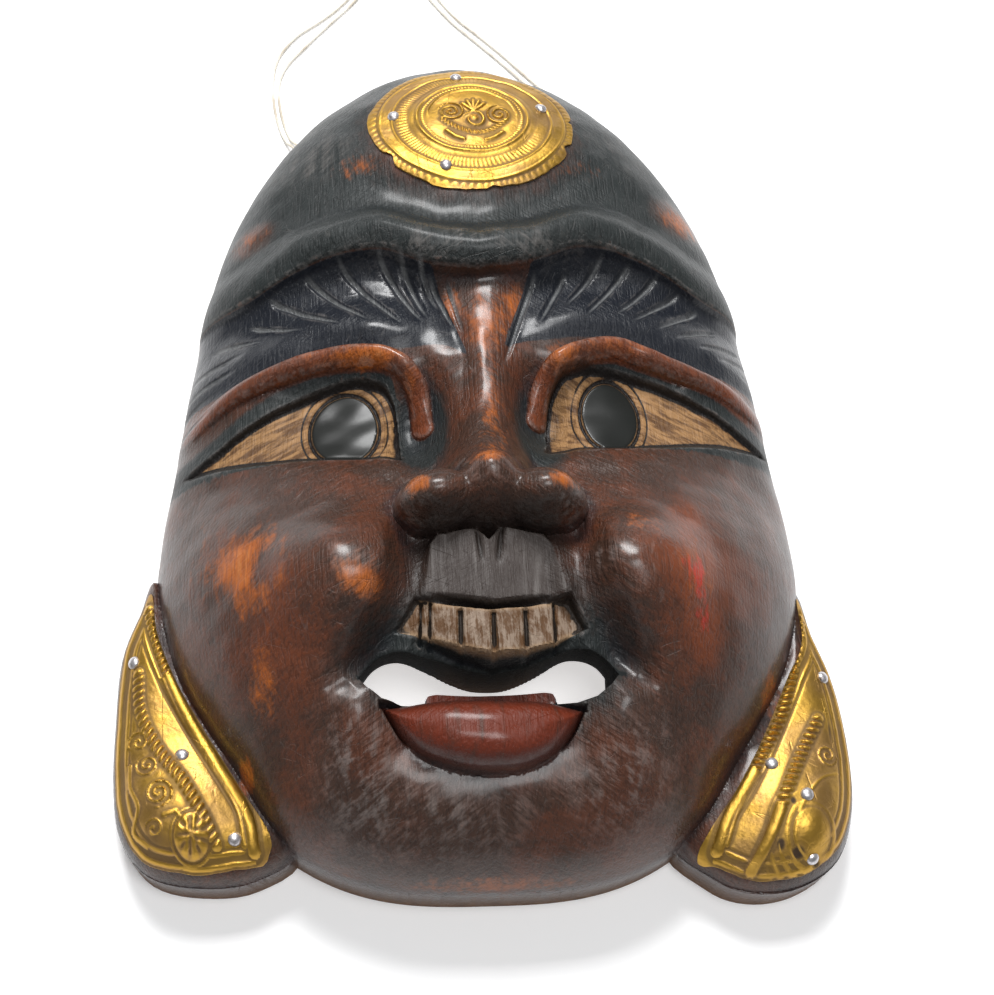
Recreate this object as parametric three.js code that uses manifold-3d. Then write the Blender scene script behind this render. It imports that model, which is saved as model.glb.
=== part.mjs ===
// Carved wooden dance mask with brass plates, lying face up on its back rim.
// Millimetres. +X is the viewer's right, +Y runs from the chin to the crown, +Z out of the face.
// The origin is in the middle of the mask's box, on the surface that the back rim rests on.
import * as THREE from "three";
import { mergeVertices } from "three/addons/utils/BufferGeometryUtils.js";
import Module from "manifold-3d";

const wasm = await Module();
wasm.setup();

// Overall sizes of the block
const CROWN_END = 163;
const CHIN_END = -158.7;
const CROWN_START = 30;
const CROWN_ROUNDNESS = 1.95;
// The crown bends a little to the viewer's left
const CROWN_LEAN = 3;
const CHIN_START = -118;
const CHIN_ROUNDNESS = 3;

// Stations [y, value] down the middle of the face block
const HALF_WIDTH = [[-160, 60], [-148, 67], [-139, 73], [-124, 81], [-106, 92], [-91, 100.5], [-73, 106.6],
  [-57, 109.6], [-35, 109.2], [-12, 106.2], [20, 102.6], [45, 99.8], [62, 99.2], [90, 98.9], [160, 97]];
const RIM_HEIGHT = [[-160, 17], [-140, 14], [-100, 10], [0, 9], [100, 8], [160, 8]];
const DOME_HEIGHT = [[-160, 52], [-150, 52], [-130, 55], [-100, 58], [-60, 60], [-20, 58], [20, 59], [60, 62],
  [84, 66], [105, 71], [130, 76], [160, 78]];
const FULLNESS = [[-160, 2.3], [-130, 2.5], [-100, 2.7], [-60, 2.7], [0, 2.3], [60, 2.2], [110, 2.05],
  [160, 2]];

// Hollow of the back
const RIM_WIDTH = 11;
const HOLLOW_DEPTH = 32;
const HOLLOW_FULLNESS = 2.6;
const HOLLOW_RINGS = 7;
const HOLLOW_SECTORS = 30;
// Deeper places behind the cheeks, the nose and the crown: [x, y, radius x, radius y, extra depth]
const HOLLOW_POCKETS = [[-54, -76, 46, 44, 25], [54, -76, 46, 44, 25], [0, -44, 22, 22, 20],
  [0, 88, 74, 54, 20]];

// Forehead and brows: heights of curves [|x|, y], the same on both sides but for the lift of the right brow
const BROW_LIFT = { left: 0, right: 4.5 };
const BROW_LINE = [[0, 44.5], [18, 47.4], [34, 53.6], [50, 52.8], [63, 49.6], [80, 43.8], [97, 43],
  [110, 42]];
const BROW_FOOT = [[0, 16], [9, 24], [26, 24.5], [47, 24.5], [61, 21.5], [84, 17.5], [103, 16], [115, 15]];
const ROLL = { above: 7, halfWidth: 15, height: 9, sideHeight: 3.5 };
const FURROW = { above: 27, halfWidth: 13, depth: 3 };
const BROW_STEP = { depth: 5.5, sideDepth: 3.2 };
const BROW_RIDGE = { above: 5, halfWidth: 9, height: 4 };
const HAIR_CUT_DEPTH = 1.7;
const HAIR_CUT_WIDTH = 2.6;
// Brow hairs as cuts: [outer x, outer y, inner x, inner y]
const HAIR_CUTS = {
  left: [[-33, 51, -20, 27], [-47, 48, -26, 26], [-58, 45, -37, 28], [-70, 39, -46, 28], [-77, 32, -62, 31],
    [-91, 29, -77, 28], [-26, 51, -18, 31], [-17, 46, -10, 25]],
  right: [[42, 53, 30, 34], [52, 50, 38, 29], [62, 46, 48, 31], [70, 41, 54, 29], [78, 38, 62, 28],
    [90, 32, 74, 28], [30, 47, 22, 27], [20, 46, 10, 14]],
};

// Soft swellings and hollows: [x, y, radius x, radius y, height], and a turn in degrees where there is one
const CHEEK = [56, -74, 68, 60, 17];
const CHEEKBONE = [45, -70, 31, 28, 9.5];
const EYE_SOCKET = [43, -4, 42, 29, 8.5];
const SOCKET_CORNER = [21, -10, 14, 24, 9, 8];
const SOCKET_LIFT = 0.8;
const JAW_MUSCLES = { left: [-44, -120, 15, 26, 4, -18], right: [40, -120, 15, 26, 4, 18] };
const MOUTH_POCKET = [0, -97, 52, 20, 9];
const CHIN_POCKET = [-3, -118, 44, 24, 3];

// Eyes and lids
const EYES = {
  left: { inner: [-27, -21.5], outer: [-97, -17], rise: 26, iris: [-46.4, -9.9], irisRadius: 11 },
  right: { inner: [21.6, -19.8], outer: [100.5, -9.5], rise: 27, iris: [42.8, -4.9], irisRadius: 10.6 },
};
const EYE_ARCH = [[0, 0], [0.015, 0.5], [0.05, 0.82], [0.12, 0.97], [0.25, 1], [0.39, 0.9], [0.54, 0.73],
  [0.72, 0.45], [0.88, 0.17], [1, 0]];
const EYE_SAG = 1.2;
const EYE_DEPTH = { overall: 3.2, underLid: 2.2, underLidWidth: 6 };
const EYEBALL = { radii: [30, 17], height: 3.8 };
// Low dome of the iris: [fraction of its radius, height over the eyeball]
const IRIS_PROFILE = [[0, -6], [1, -6], [1, 0.3], [0.6, 1.2], [0, 1.5]];
const LIDS = {
  left: [[-19.5, -9], [-21.5, 4], [-29, 12.3], [-41, 15], [-54.4, 14.4], [-68, 11], [-85, 6], [-99, -0.5]],
  right: [[19, -7], [21.2, 4.5], [27, 12], [37.5, 17], [47.7, 18.4], [58.5, 15.5], [72, 11.5], [88, 8],
    [99.5, 4]],
};
const LID_RADIUS = 3.2;

// Nose, folds, upper lip, teeth, mouth and lower lip
const BRIDGE_HEIGHT = [[-50, 86], [-38, 84], [-28, 73], [-15, 65], [0, 61], [20, 61], [45, 58]];
const BRIDGE_MIDDLE = [[-20, 0.6], [10, 2.8]];
const BRIDGE_SPREAD = [[-40, 12.5], [-10, 9.5], [8, 9.5], [40, 17.5]];
const BRIDGE_FALL = 0.11;
const BRIDGE_FOOT = -56;
const BRIDGE_HEAD = 50;
// Ellipsoid caps: [x, y, top, radius x, radius y, radius z]
const NOSE_TIP = [0, -43.5, 91, 14.5, 12.6, 27];
const NOSE_WINGS = [[-19, -46.5, 80.5, 11.5, 9.6, 17], [21.5, -46.5, 80.5, 12, 9.6, 17]];
const FOLDS = {
  left: [[-27, -50], [-25, -60], [-27.5, -76], [-36, -92], [-45, -101]],
  right: [[31, -50], [29, -60], [31, -76], [38, -91], [45, -101]],
};
const FOLD_DEPTH = 6.5;
const FOLD_HALF_WIDTH = 9;
const LIP_PLATE = [[-22, -59], [-18, -56.5], [-5, -55], [0, -58.5], [6, -54.6], [18, -57], [21, -59.5],
  [24.5, -76.5], [1.6, -79.5], [-21, -76]];
const LIP_PLATE_HEIGHT = { middle: 70.5, slope: 0.06, curl: 0.004, slopeFrom: -56 };
const TEETH_HEIGHT = { middle: 67.5, slope: 0.1, curl: 0.0065, slopeFrom: -80 };
const TEETH_TOP = [[-31, -78.6], [-24, -77.8], [0, -81], [25, -78.4], [30, -79]];
const TEETH_FOOT = [[-31, -85.5], [-20.5, -89.6], [-10, -93.4], [0.2, -95.6], [9.8, -94.8], [19.6, -92.2],
  [30, -87]];
const TOOTH_GAPS = [-20.2, -9.5, 0.6, 10.5, 19.4];
const TOOTH_GAP_DEPTH = 1.6;
const TOOTH_GAP_WIDTH = 1.6;
const MOUTH_TOP = [[-41, -101], [-37, -96], [-30, -92.8], [-20, -94.5], [0, -97.2], [16, -95.5], [27, -92.8],
  [35, -96], [39, -101]];
const MOUTH_FOOT = [[-41, -101], [-37, -104.5], [-30, -106.4], [-20, -106], [0, -105.6], [20, -106],
  [28, -106.2], [34, -104.8], [39, -101]];
const LIP_TOP = [[-34, -108.8], [-20, -108], [0, -108], [16, -108.6], [28, -110.5]];
const LIP_FOOT = [[-34, -109.5], [-29, -117.5], [-23.5, -122.6], [-12, -127.4], [0, -129], [11, -127.6],
  [20, -122.8], [25, -117], [28, -111]];
const LIP_SHAPE = { base: 57.5, height: 9.5, round: 9.5, curl: 0.007, middle: -3 };
const LIP_LEDGE = { height: 55.5, from: -104, to: -109, halfWidth: 30 };

// Ears: outline of each lobe, from its tip down the outside and back inside the cheek
const EARS = {
  left: [[-109.2, -50], [-115.2, -62], [-120.2, -78], [-121, -100], [-120.6, -120], [-117.5, -137],
    [-108, -149.5], [-92, -153.8], [-74, -152], [-60, -140], [-72, -110], [-92, -80]],
  right: [[108, -57], [113.4, -74], [118.6, -92], [120.8, -114], [119.5, -134], [112.5, -150],
    [99, -158.6], [84, -160.2], [71, -155], [58, -140], [72, -110], [92, -80]],
};
const EAR_EDGE = 12;
const EAR_TOP = 27;
const EAR_ROUND = 17;
const EAR_MARGIN = 6;
const EAR_BOSS = { left: [-97, -131], right: [97, -135], radius: 24, height: 5, edge: 8 };

// Brass skins: they follow the wood at a small gap
const SKIN_GAP = 0.3;
const SKIN_THICKNESS = 0.8;
const SKIN_FACE = SKIN_GAP + SKIN_THICKNESS;
const DISC = { centre: [0.5, 112], radiusX: 38, radiusY: 33.2 };
const MEDALLION = { scale: 0.6, rise: 0.8 };
const PLATES = {
  left: [[-110.6, -56.5], [-115.2, -66.5], [-119, -80], [-119.8, -100], [-119.3, -120], [-116, -136],
    [-107.5, -147.3], [-92, -151], [-76, -149.5], [-69.8, -147], [-69.5, -139], [-79, -124.5], [-90.5, -106],
    [-99.5, -90.5], [-107, -73]],
  right: [[107.6, -61.5], [112.2, -75], [117.4, -93], [119.3, -114], [118, -133], [111.2, -148], [98.5, -156],
    [84, -157.4], [72, -153], [65.6, -149.5], [70, -141], [79.7, -128], [89.7, -111.5], [100.3, -91],
    [106.8, -78]],
};
const ROPES = {
  left: [[[-111, -63], [-103.5, -85], [-95.5, -102.5], [-85.5, -118.5], [-76.5, -133.5], [-74, -145]],
    [[-114.5, -88], [-111.5, -101], [-104, -114], [-96, -124], [-91.5, -132]]],
  right: [[[107.4, -70], [103.2, -85], [96.2, -104.5], [85.5, -122.5], [76, -137], [71.5, -148]],
    [[112.5, -101], [103, -118], [95, -131], [88, -147]]],
};
const ROPE_RISE = 1.1;
const ROPE_HALF_WIDTH = 2.6;

// Nail heads at [x, y], under the name of the skin that they hold
const NAIL_RADIUS = 2.2;
// Domed head: [fraction of its radius, height over the brass]; its foot is cut to the brass under it
const NAIL_PROFILE = [[0, -1.5], [1, -1.5], [0.85, 0.66], [0, 1.1]];
const NAILS = {
  crown_disc: { disc_nail_left: [-28, 114], disc_nail_top: [-4.5, 137], disc_nail_right: [26.2, 119.5],
    disc_nail_bottom: [-9.7, 88.5] },
  ear_plate_left: { ear_nail_left_upper: [-114.6, -82], ear_nail_left_middle: [-97, -114.5],
    ear_nail_left_lower: [-79.8, -141.5] },
  ear_plate_right: { ear_nail_right_upper: [112.6, -91], ear_nail_right_middle: [90.7, -121.5],
    ear_nail_right_outer: [100.4, -132.5], ear_nail_right_lower: [101.8, -151.5] },
};

// Hanging cord: two strands laid beside each other on the surface, knotted inside the hollow
const CORD_DIAMETER = 1.2;
const CORD_HOLE_RADIUS = 2.4;
const CORD_HOLE_HEIGHT = 4.7;
const CORD_HOLES = { left: [[-48.2, 114.9], [-68, 141.8]], right: [[41.5, 117.6], [61, 146]] };
const KNOT_RADIUS = 2.6;
const CORD_STEPS = 36;
const CORD_SIDES = 8;
// Route of each strand: from the left hole over the surface above the crown to the right hole
const CORD_ROUTES = {
  outer: [[-52, 118.6, 5.4], [-56, 124, 5.4], [-60, 129.6, 5.4], [-64.4, 135.8, 5.2], [-67.6, 140.2, 3.2],
    [-70.4, 144.6, 1.2], [-73.4, 153, 0.8], [-75.4, 164, 0.8], [-75.8, 176, 0.8], [-73.6, 187, 0.8],
    [-66.8, 197.4, 0.8], [-58.6, 204.4, 0.8], [-51.4, 211, 0.8], [-44.4, 219.6, 0.8], [-38, 231, 0.8],
    [-29.6, 238.6, 0.8], [-20.4, 236.4, 0.8], [-13.6, 227, 0.8], [-7.4, 217.6, 0.8], [-0.4, 207.8, 0.8],
    [8.8, 198.4, 0.8], [19, 187.6, 0.8], [28.4, 176.6, 0.8], [37.6, 167.4, 0.8], [47.4, 159.8, 0.8],
    [56.6, 152.4, 0.8], [60.8, 147.4, 1.6], [60.2, 143.2, 3.8], [57.6, 139.6, 5.2], [54.6, 135.4, 5.4],
    [51.4, 130.6, 5.4], [47.4, 124.8, 5.4]],
  inner: [[-50.8, 120, 3.9], [-54.8, 125.4, 3.9], [-58.8, 130.8, 3.9], [-63.1, 136.8, 3.8],
    [-66, 141.8, 2.4], [-68.6, 146, 0.9], [-71.4, 154, 0.8], [-73.2, 164, 0.8], [-73.2, 174, 0.8],
    [-70.2, 182.6, 0.8], [-64, 191, 0.8], [-57, 199.8, 0.8], [-49.8, 208.2, 0.8], [-42.6, 217, 0.8],
    [-36.2, 228, 0.8], [-29, 235.4, 0.8], [-22, 233.6, 0.8], [-15.8, 225, 0.8], [-9.6, 215.6, 0.8],
    [-2.4, 205.8, 0.8], [6.6, 196.2, 0.8], [16.8, 185.4, 0.8], [26.2, 174.8, 0.8], [35.6, 165.4, 0.8],
    [45.4, 157.6, 0.8], [54, 150.8, 0.8], [57.6, 146.6, 0.9], [57.4, 143.6, 2.2], [56, 140.2, 3.6],
    [53.2, 136.2, 3.9], [50.2, 131.8, 3.9], [46.2, 126, 3.9]],
};

// Smooth curve through stations [t, value], level beyond its ends
function curveAt(stations, t) {
  const last = stations.length - 1;
  const at = Math.min(Math.max(t, stations[0][0]), stations[last][0]);
  let i = 0;
  while (i < last - 1 && at >= stations[i + 1][0]) i += 1;
  const slope = (k) => (stations[k + 1][1] - stations[k][1]) / (stations[k + 1][0] - stations[k][0]);
  const tangent = (k) => {
    if (k === 0) return slope(0);
    if (k === last) return slope(last - 1);
    return (slope(k - 1) + slope(k)) / 2;
  };
  const step = stations[i + 1][0] - stations[i][0];
  const q = (at - stations[i][0]) / step;
  const p = 1 - q;
  return stations[i][1] * (1 + 2 * q) * p * p + tangent(i) * step * q * p * p
    + stations[i + 1][1] * q * q * (3 - 2 * q) - tangent(i + 1) * step * q * q * p;
}

function clamp(t, low, high) {
  return Math.min(Math.max(t, low), high);
}

function smoothStep(from, to, t) {
  const q = clamp((t - from) / (to - from), 0, 1);
  return q * q * (3 - 2 * q);
}

// 1 at t = 0, falling smoothly to 0 at t = -1 and t = 1
function bell(t) {
  return Math.max(1 - t * t, 0) ** 2;
}

function smoothMax(a, b, blend) {
  const h = clamp(0.5 + (0.5 * (a - b)) / blend, 0, 1);
  return b * (1 - h) + a * h + blend * h * (1 - h);
}

// Soft round swelling of height 1 over an ellipse
function swelling(x, y, cx, cy, rx, ry, turnDegrees = 0) {
  const turn = THREE.MathUtils.degToRad(turnDegrees);
  const u = ((x - cx) * Math.cos(turn) + (y - cy) * Math.sin(turn)) / rx;
  const v = ((y - cy) * Math.cos(turn) - (x - cx) * Math.sin(turn)) / ry;
  return Math.max(1 - u * u - v * v, 0) ** 2;
}

// Height at x, y of a swelling listed as [x, y, radius x, radius y, height, turn]
function swell(x, y, [cx, cy, rx, ry, height, turnDegrees = 0], lift = 0) {
  return height * swelling(x, y, cx, cy + lift, rx, ry, turnDegrees);
}

// Upper half of an ellipsoid whose highest point is at top
function cap(x, y, cx, cy, top, rx, ry, rz) {
  const q = 1 - ((x - cx) / rx) ** 2 - ((y - cy) / ry) ** 2;
  return top - rz + (q > 0 ? rz * Math.sqrt(q) : rz * Math.max(q, -3));
}

// Points on a smooth curve through the given ones
function smoothPoints(points, stepsEach, closed = false) {
  const knots = points.map(([x, y]) => new THREE.Vector3(x, y, 0));
  const path = new THREE.CatmullRomCurve3(knots, closed, "catmullrom", 0.5);
  const count = (closed ? points.length : points.length - 1) * stepsEach;
  return Array.from({ length: closed ? count : count + 1 }, (_, i) => {
    const p = path.getPoint(i / count);
    return [p.x, p.y];
  });
}

// Distance from a point to a polyline, and how far along it the nearest point is
function lineDistance(x, y, line) {
  let best = Infinity;
  let along = 0;
  for (let i = 0; i < line.length - 1; i += 1) {
    const [ax, ay] = line[i];
    const dx = line[i + 1][0] - ax;
    const dy = line[i + 1][1] - ay;
    const q = clamp(((x - ax) * dx + (y - ay) * dy) / (dx * dx + dy * dy), 0, 1);
    const d = Math.hypot(x - ax - q * dx, y - ay - q * dy);
    if (d < best) {
      best = d;
      along = (i + q) / (line.length - 1);
    }
  }
  return { distance: best, along };
}

// Depth inside a closed outline, negative outside it
function depthInside(x, y, outline) {
  const { distance } = lineDistance(x, y, [...outline, outline[0]]);
  let within = false;
  for (let i = 0, j = outline.length - 1; i < outline.length; j = i, i += 1) {
    const [ax, ay] = outline[i];
    const [bx, by] = outline[j];
    if ((ay > y) !== (by > y) && x < ((bx - ax) * (y - ay)) / (by - ay) + ax) within = !within;
  }
  return within ? distance : -distance;
}

// Depth inside the strip between two curves y(x)
function depthBetween(x, y, top, foot) {
  const from = Math.max(top[0][0], foot[0][0]);
  const to = Math.min(top[top.length - 1][0], foot[foot.length - 1][0]);
  return Math.min(curveAt(top, x) - y, y - curveAt(foot, x), x - from, to - x);
}

const SIDES = ["left", "right"];
// Height given to a form where it isn't, far below the wood
const ABSENT = -50;
// Reach of the cutting solids over and under the whole mask
const BELOW = -20;
const ABOVE = 110;
const sideOf = (x) => (x < 0 ? "left" : "right");
const signOf = { left: -1, right: 1 };
const earOutline = { left: smoothPoints(EARS.left, 3, true), right: smoothPoints(EARS.right, 3, true) };

// 0 on the middle line, 1 on the outline of the face block
function reach(x, y) {
  const half = curveAt(HALF_WIDTH, y);
  if (y > CROWN_START) {
    const v = (y - CROWN_START) / (CROWN_END - CROWN_START);
    const bent = Math.abs(x + CROWN_LEAN * v * v) / half;
    return (bent ** CROWN_ROUNDNESS + v ** CROWN_ROUNDNESS) ** (1 / CROWN_ROUNDNESS);
  }
  const u = Math.abs(x) / half;
  if (y < CHIN_START) {
    const v = (CHIN_START - y) / (CHIN_START - CHIN_END);
    return (u ** CHIN_ROUNDNESS + v ** CHIN_ROUNDNESS) ** (1 / CHIN_ROUNDNESS);
  }
  return u;
}

function browLine(x) {
  return curveAt(BROW_LINE, Math.abs(x)) + BROW_LIFT[sideOf(x)] * 0.35 * smoothStep(25, 50, Math.abs(x));
}

function browFoot(x) {
  return curveAt(BROW_FOOT, Math.abs(x)) + BROW_LIFT[sideOf(x)] * smoothStep(5, 35, Math.abs(x));
}

// Lower and upper edge of the eye at x, and how far x is from the inner corner to the outer one
function eyeEdges(x, eye) {
  const along = (x - eye.inner[0]) / (eye.outer[0] - eye.inner[0]);
  const sag = EYE_SAG * Math.sin(Math.PI * clamp(along, 0, 1));
  const foot = eye.inner[1] + (eye.outer[1] - eye.inner[1]) * along - sag;
  return { along, foot, arch: eye.rise * curveAt(EYE_ARCH, along) };
}

function domeHeight(x, y) {
  const u = reach(x, y);
  const rim = curveAt(RIM_HEIGHT, y);
  if (u >= 1) return rim;
  return rim + (curveAt(DOME_HEIGHT, y) - rim) * Math.sqrt(1 - u ** curveAt(FULLNESS, y));
}

function earHeight(x, y, side) {
  const depth = depthInside(x, y, earOutline[side]);
  if (depth <= 0) return depth > -EAR_MARGIN ? EAR_EDGE : ABSENT;
  const round = 1 - Math.min(depth, EAR_ROUND) / EAR_ROUND;
  const boss = swell(x, y, [...EAR_BOSS[side], EAR_BOSS.radius, EAR_BOSS.radius, EAR_BOSS.height]);
  const lobe = EAR_EDGE + (EAR_TOP - EAR_EDGE) * Math.sqrt(1 - round * round);
  return lobe + boss * Math.min(depth / EAR_BOSS.edge, 1);
}

function cheeks(x, y) {
  return swell(Math.abs(x), y, CHEEK) + swell(Math.abs(x), y, CHEEKBONE);
}

// Rolled forehead with a furrow above it and a step down to the brows
function forehead(x, y) {
  const a = Math.abs(x);
  const above = y - browLine(x);
  const rollHeight = ROLL.height + (ROLL.sideHeight - ROLL.height) * smoothStep(30, 95, a);
  const roll = rollHeight * bell((above - ROLL.above) / ROLL.halfWidth);
  const furrow = FURROW.depth * bell((above - FURROW.above) / FURROW.halfWidth) * smoothStep(75, 20, a);
  const stepDepth = BROW_STEP.depth + (BROW_STEP.sideDepth - BROW_STEP.depth) * smoothStep(10, 80, a);
  const step = stepDepth * smoothStep(0.8, -1.6, above) * smoothStep(-34, -12, above);
  const ridgeAt = (y - browFoot(x) - BROW_RIDGE.above) / BROW_RIDGE.halfWidth;
  const brow = BROW_RIDGE.height * bell(ridgeAt) * smoothStep(4, 16, a) * smoothStep(112, 80, a);
  return roll - furrow - step * smoothStep(112, 90, a) + brow;
}

function sockets(x, y) {
  const lift = BROW_LIFT[sideOf(x)] * SOCKET_LIFT;
  return swell(Math.abs(x), y, EYE_SOCKET, lift) + swell(Math.abs(x), y, SOCKET_CORNER, lift);
}

function bridge(x, y) {
  if (y < BRIDGE_FOOT || y > BRIDGE_HEAD) return ABSENT;
  const off = Math.max(Math.abs(x - curveAt(BRIDGE_MIDDLE, y)) - 1, 0);
  const narrowest = BRIDGE_SPREAD[1][1];
  return curveAt(BRIDGE_HEIGHT, y) - BRIDGE_FALL * (off * narrowest / curveAt(BRIDGE_SPREAD, y)) ** 2;
}

function noseTip(x, y) {
  const wings = Math.max(...NOSE_WINGS.map((wing) => cap(x, y, ...wing)));
  return smoothMax(wings, cap(x, y, ...NOSE_TIP), 6);
}

// How far the eyeball lies below the skin around it
function eyeSink(x, y) {
  const eye = EYES[sideOf(x)];
  const { along, foot, arch } = eyeEdges(x, eye);
  const depth = Math.min(foot + arch - y, y - foot, Math.abs(x - eye.inner[0]) * Math.sign(along));
  const underLid = EYE_DEPTH.underLid * bell((foot + arch - y) / EYE_DEPTH.underLidWidth);
  const ball = EYEBALL.height * swelling(x, y, ...eye.iris, ...EYEBALL.radii);
  return smoothStep(-0.8, 0.9, depth) * (EYE_DEPTH.overall + underLid - ball);
}

function folds(x, y) {
  const line = FOLDS[sideOf(x)];
  const { distance, along } = lineDistance(x, y, line);
  const ends = smoothStep(-0.05, 0.15, along) * smoothStep(1.1, 0.8, along);
  return FOLD_DEPTH * bell(distance / FOLD_HALF_WIDTH) * ends;
}

// Height of a slightly curved plate that slopes with y
function plateHeight(x, y, { middle, slope, curl, slopeFrom }) {
  return middle + slope * (y - slopeFrom) - curl * x * x;
}

function lowerLipHeight(x, depth) {
  const round = 1 - Math.min(depth, LIP_SHAPE.round) / LIP_SHAPE.round;
  const curl = LIP_SHAPE.curl * (x - LIP_SHAPE.middle) ** 2;
  return LIP_SHAPE.base + LIP_SHAPE.height * Math.sqrt(1 - round * round) - curl;
}

// Height of the carved front over the resting surface
function relief(x, y) {
  let z = domeHeight(x, y) + cheeks(x, y) + forehead(x, y) - sockets(x, y);
  z = smoothMax(z, bridge(x, y), 5) - eyeSink(x, y);
  z = smoothMax(z, noseTip(x, y), 2.5) - folds(x, y);
  z += swell(x, y, JAW_MUSCLES[sideOf(x)]) - swell(x, y, MOUTH_POCKET);
  if (depthInside(x, y, LIP_PLATE) > 0) z = Math.max(z, plateHeight(x, y, LIP_PLATE_HEIGHT));
  if (depthBetween(x, y, TEETH_TOP, TEETH_FOOT) > 0) z = plateHeight(x, y, TEETH_HEIGHT);
  z -= swell(x, y, CHIN_POCKET);
  const lip = depthBetween(x, y, LIP_TOP, LIP_FOOT);
  const onLedge = y < LIP_LEDGE.from && y > LIP_LEDGE.to && Math.abs(x) < LIP_LEDGE.halfWidth;
  if (lip > 0) z = lowerLipHeight(x, lip);
  else if (onLedge) z = Math.min(z, LIP_LEDGE.height);
  return Math.max(z, earHeight(x, y, sideOf(x)));
}

function solidFrom(geometry) {
  const bare = geometry.clone();
  bare.deleteAttribute("normal");
  bare.deleteAttribute("uv");
  const merged = mergeVertices(bare, 1e-4);
  const triVerts = Uint32Array.from(merged.index.array);
  const vertProperties = Float32Array.from(merged.attributes.position.array);
  return new wasm.Manifold(new wasm.Mesh({ numProp: 3, vertProperties, triVerts }));
}

function geometryFrom(solid) {
  const mesh = solid.getMesh();
  const geometry = new THREE.BufferGeometry();
  geometry.setAttribute("position", new THREE.BufferAttribute(mesh.vertProperties, 3));
  geometry.setIndex(new THREE.BufferAttribute(mesh.triVerts, 1));
  geometry.computeVertexNormals();
  return geometry;
}

function prism(outline, bottom, top) {
  const shape = new THREE.Shape(outline.map(([x, y]) => new THREE.Vector2(x, y)));
  const geometry = new THREE.ExtrudeGeometry(shape, { depth: top - bottom, bevelEnabled: false });
  geometry.translate(0, 0, bottom);
  return solidFrom(geometry);
}

// Grid columns, as x on the middle rows; the outer ones follow the outline instead
const INNER_COLUMNS = [0, 5, 10, 15, 19.4, 21.5, 26, 31, 37, 44, 52, 61];
const JAW_FRACTIONS = [0.5, 1];
const EDGE_FRACTIONS = [0.4, 0.8, 1, 1.06];
const MIN_ROW_STEP = 0.35;
const NARROWEST_BLOCK = 24;
const WIDTH_AT_MIDDLE = 92;
const JAW_INSET = 0.13;
// Below the ears' feet the outer columns stay under them
const EAR_ROWS_BELOW = -140;
const EAR_REACH = 118;
const WIDEST_CELL = 17;

// Rows run along the features: each entry is a curve's height at x and the number of steps down to the next
function rowAnchors(x) {
  const { foot, arch } = eyeEdges(x, EYES[sideOf(x)]);
  const eyeTop = foot + Math.max(arch, 9);
  const line = browLine(x);
  const browBase = browFoot(x);
  const teethTop = curveAt(TEETH_TOP, x);
  const lipFoot = curveAt(LIP_FOOT, x);
  return [[CROWN_END + 2, 1], [CROWN_END - 1.5, 1], [CROWN_END - 9, 4], [line + FURROW.above, 1],
    [line + ROLL.above + 9, 1], [line + ROLL.above, 1], [line + 0.9, 1], [line - 1.8, 1], [browBase + 5, 1],
    [browBase - 3, 1], [eyeTop + 3, 1], [eyeTop + 0.9, 1], [eyeTop - 0.9, 2], [foot + 0.7, 1],
    [foot - 1.2, 3], [-52.4, 1], [-55.8, 2], [-76.2, 1], [teethTop - 0.5, 1],
    [curveAt(TEETH_FOOT, x) + 0.6, 1], [curveAt(MOUTH_TOP, x) - 1.5, 1],
    [curveAt(MOUTH_FOOT, x) + 0.6, 1], [curveAt(LIP_TOP, x) - 0.4, 2],
    [lipFoot + 0.6, 1], [lipFoot - 1.4, 2], [-148, 1], [-155, 1], [-158.4, 1], [-162, 0]];
}

function rowsAt(x) {
  const rows = [];
  const anchors = rowAnchors(x);
  anchors.forEach(([y, steps], i) => {
    const next = i + 1 < anchors.length ? anchors[i + 1][0] : y;
    for (let k = 0; k < Math.max(steps, 1); k += 1) rows.push(y + ((next - y) * k) / Math.max(steps, 1));
  });
  for (let i = 1; i < rows.length; i += 1) rows[i] = Math.min(rows[i], rows[i - 1] - MIN_ROW_STEP);
  return rows;
}

// The largest distance, between two limits, that is still inside by the given test
function farthest(from, to, isInside) {
  let low = from;
  let high = to;
  for (let i = 0; i < 30; i += 1) {
    const middle = (low + high) / 2;
    if (isInside(middle)) low = middle;
    else high = middle;
  }
  return low;
}

// Half-width of the face block at y on one side
function blockHalfWidth(y, side) {
  return farthest(0, 120, (distance) => reach(signOf[side] * distance, y) < 1);
}

// How far the ear reaches out at y
function earHalfWidth(y, side) {
  const outline = earOutline[side];
  let far = 0;
  outline.forEach(([ax, ay], i) => {
    const [bx, by] = outline[(i + 1) % outline.length];
    const crosses = (ay - y) * (by - y) <= 0 && ay !== by;
    if (crosses) far = Math.max(far, Math.abs(ax + ((bx - ax) * (y - ay)) / (by - ay)));
  });
  return far;
}

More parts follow.
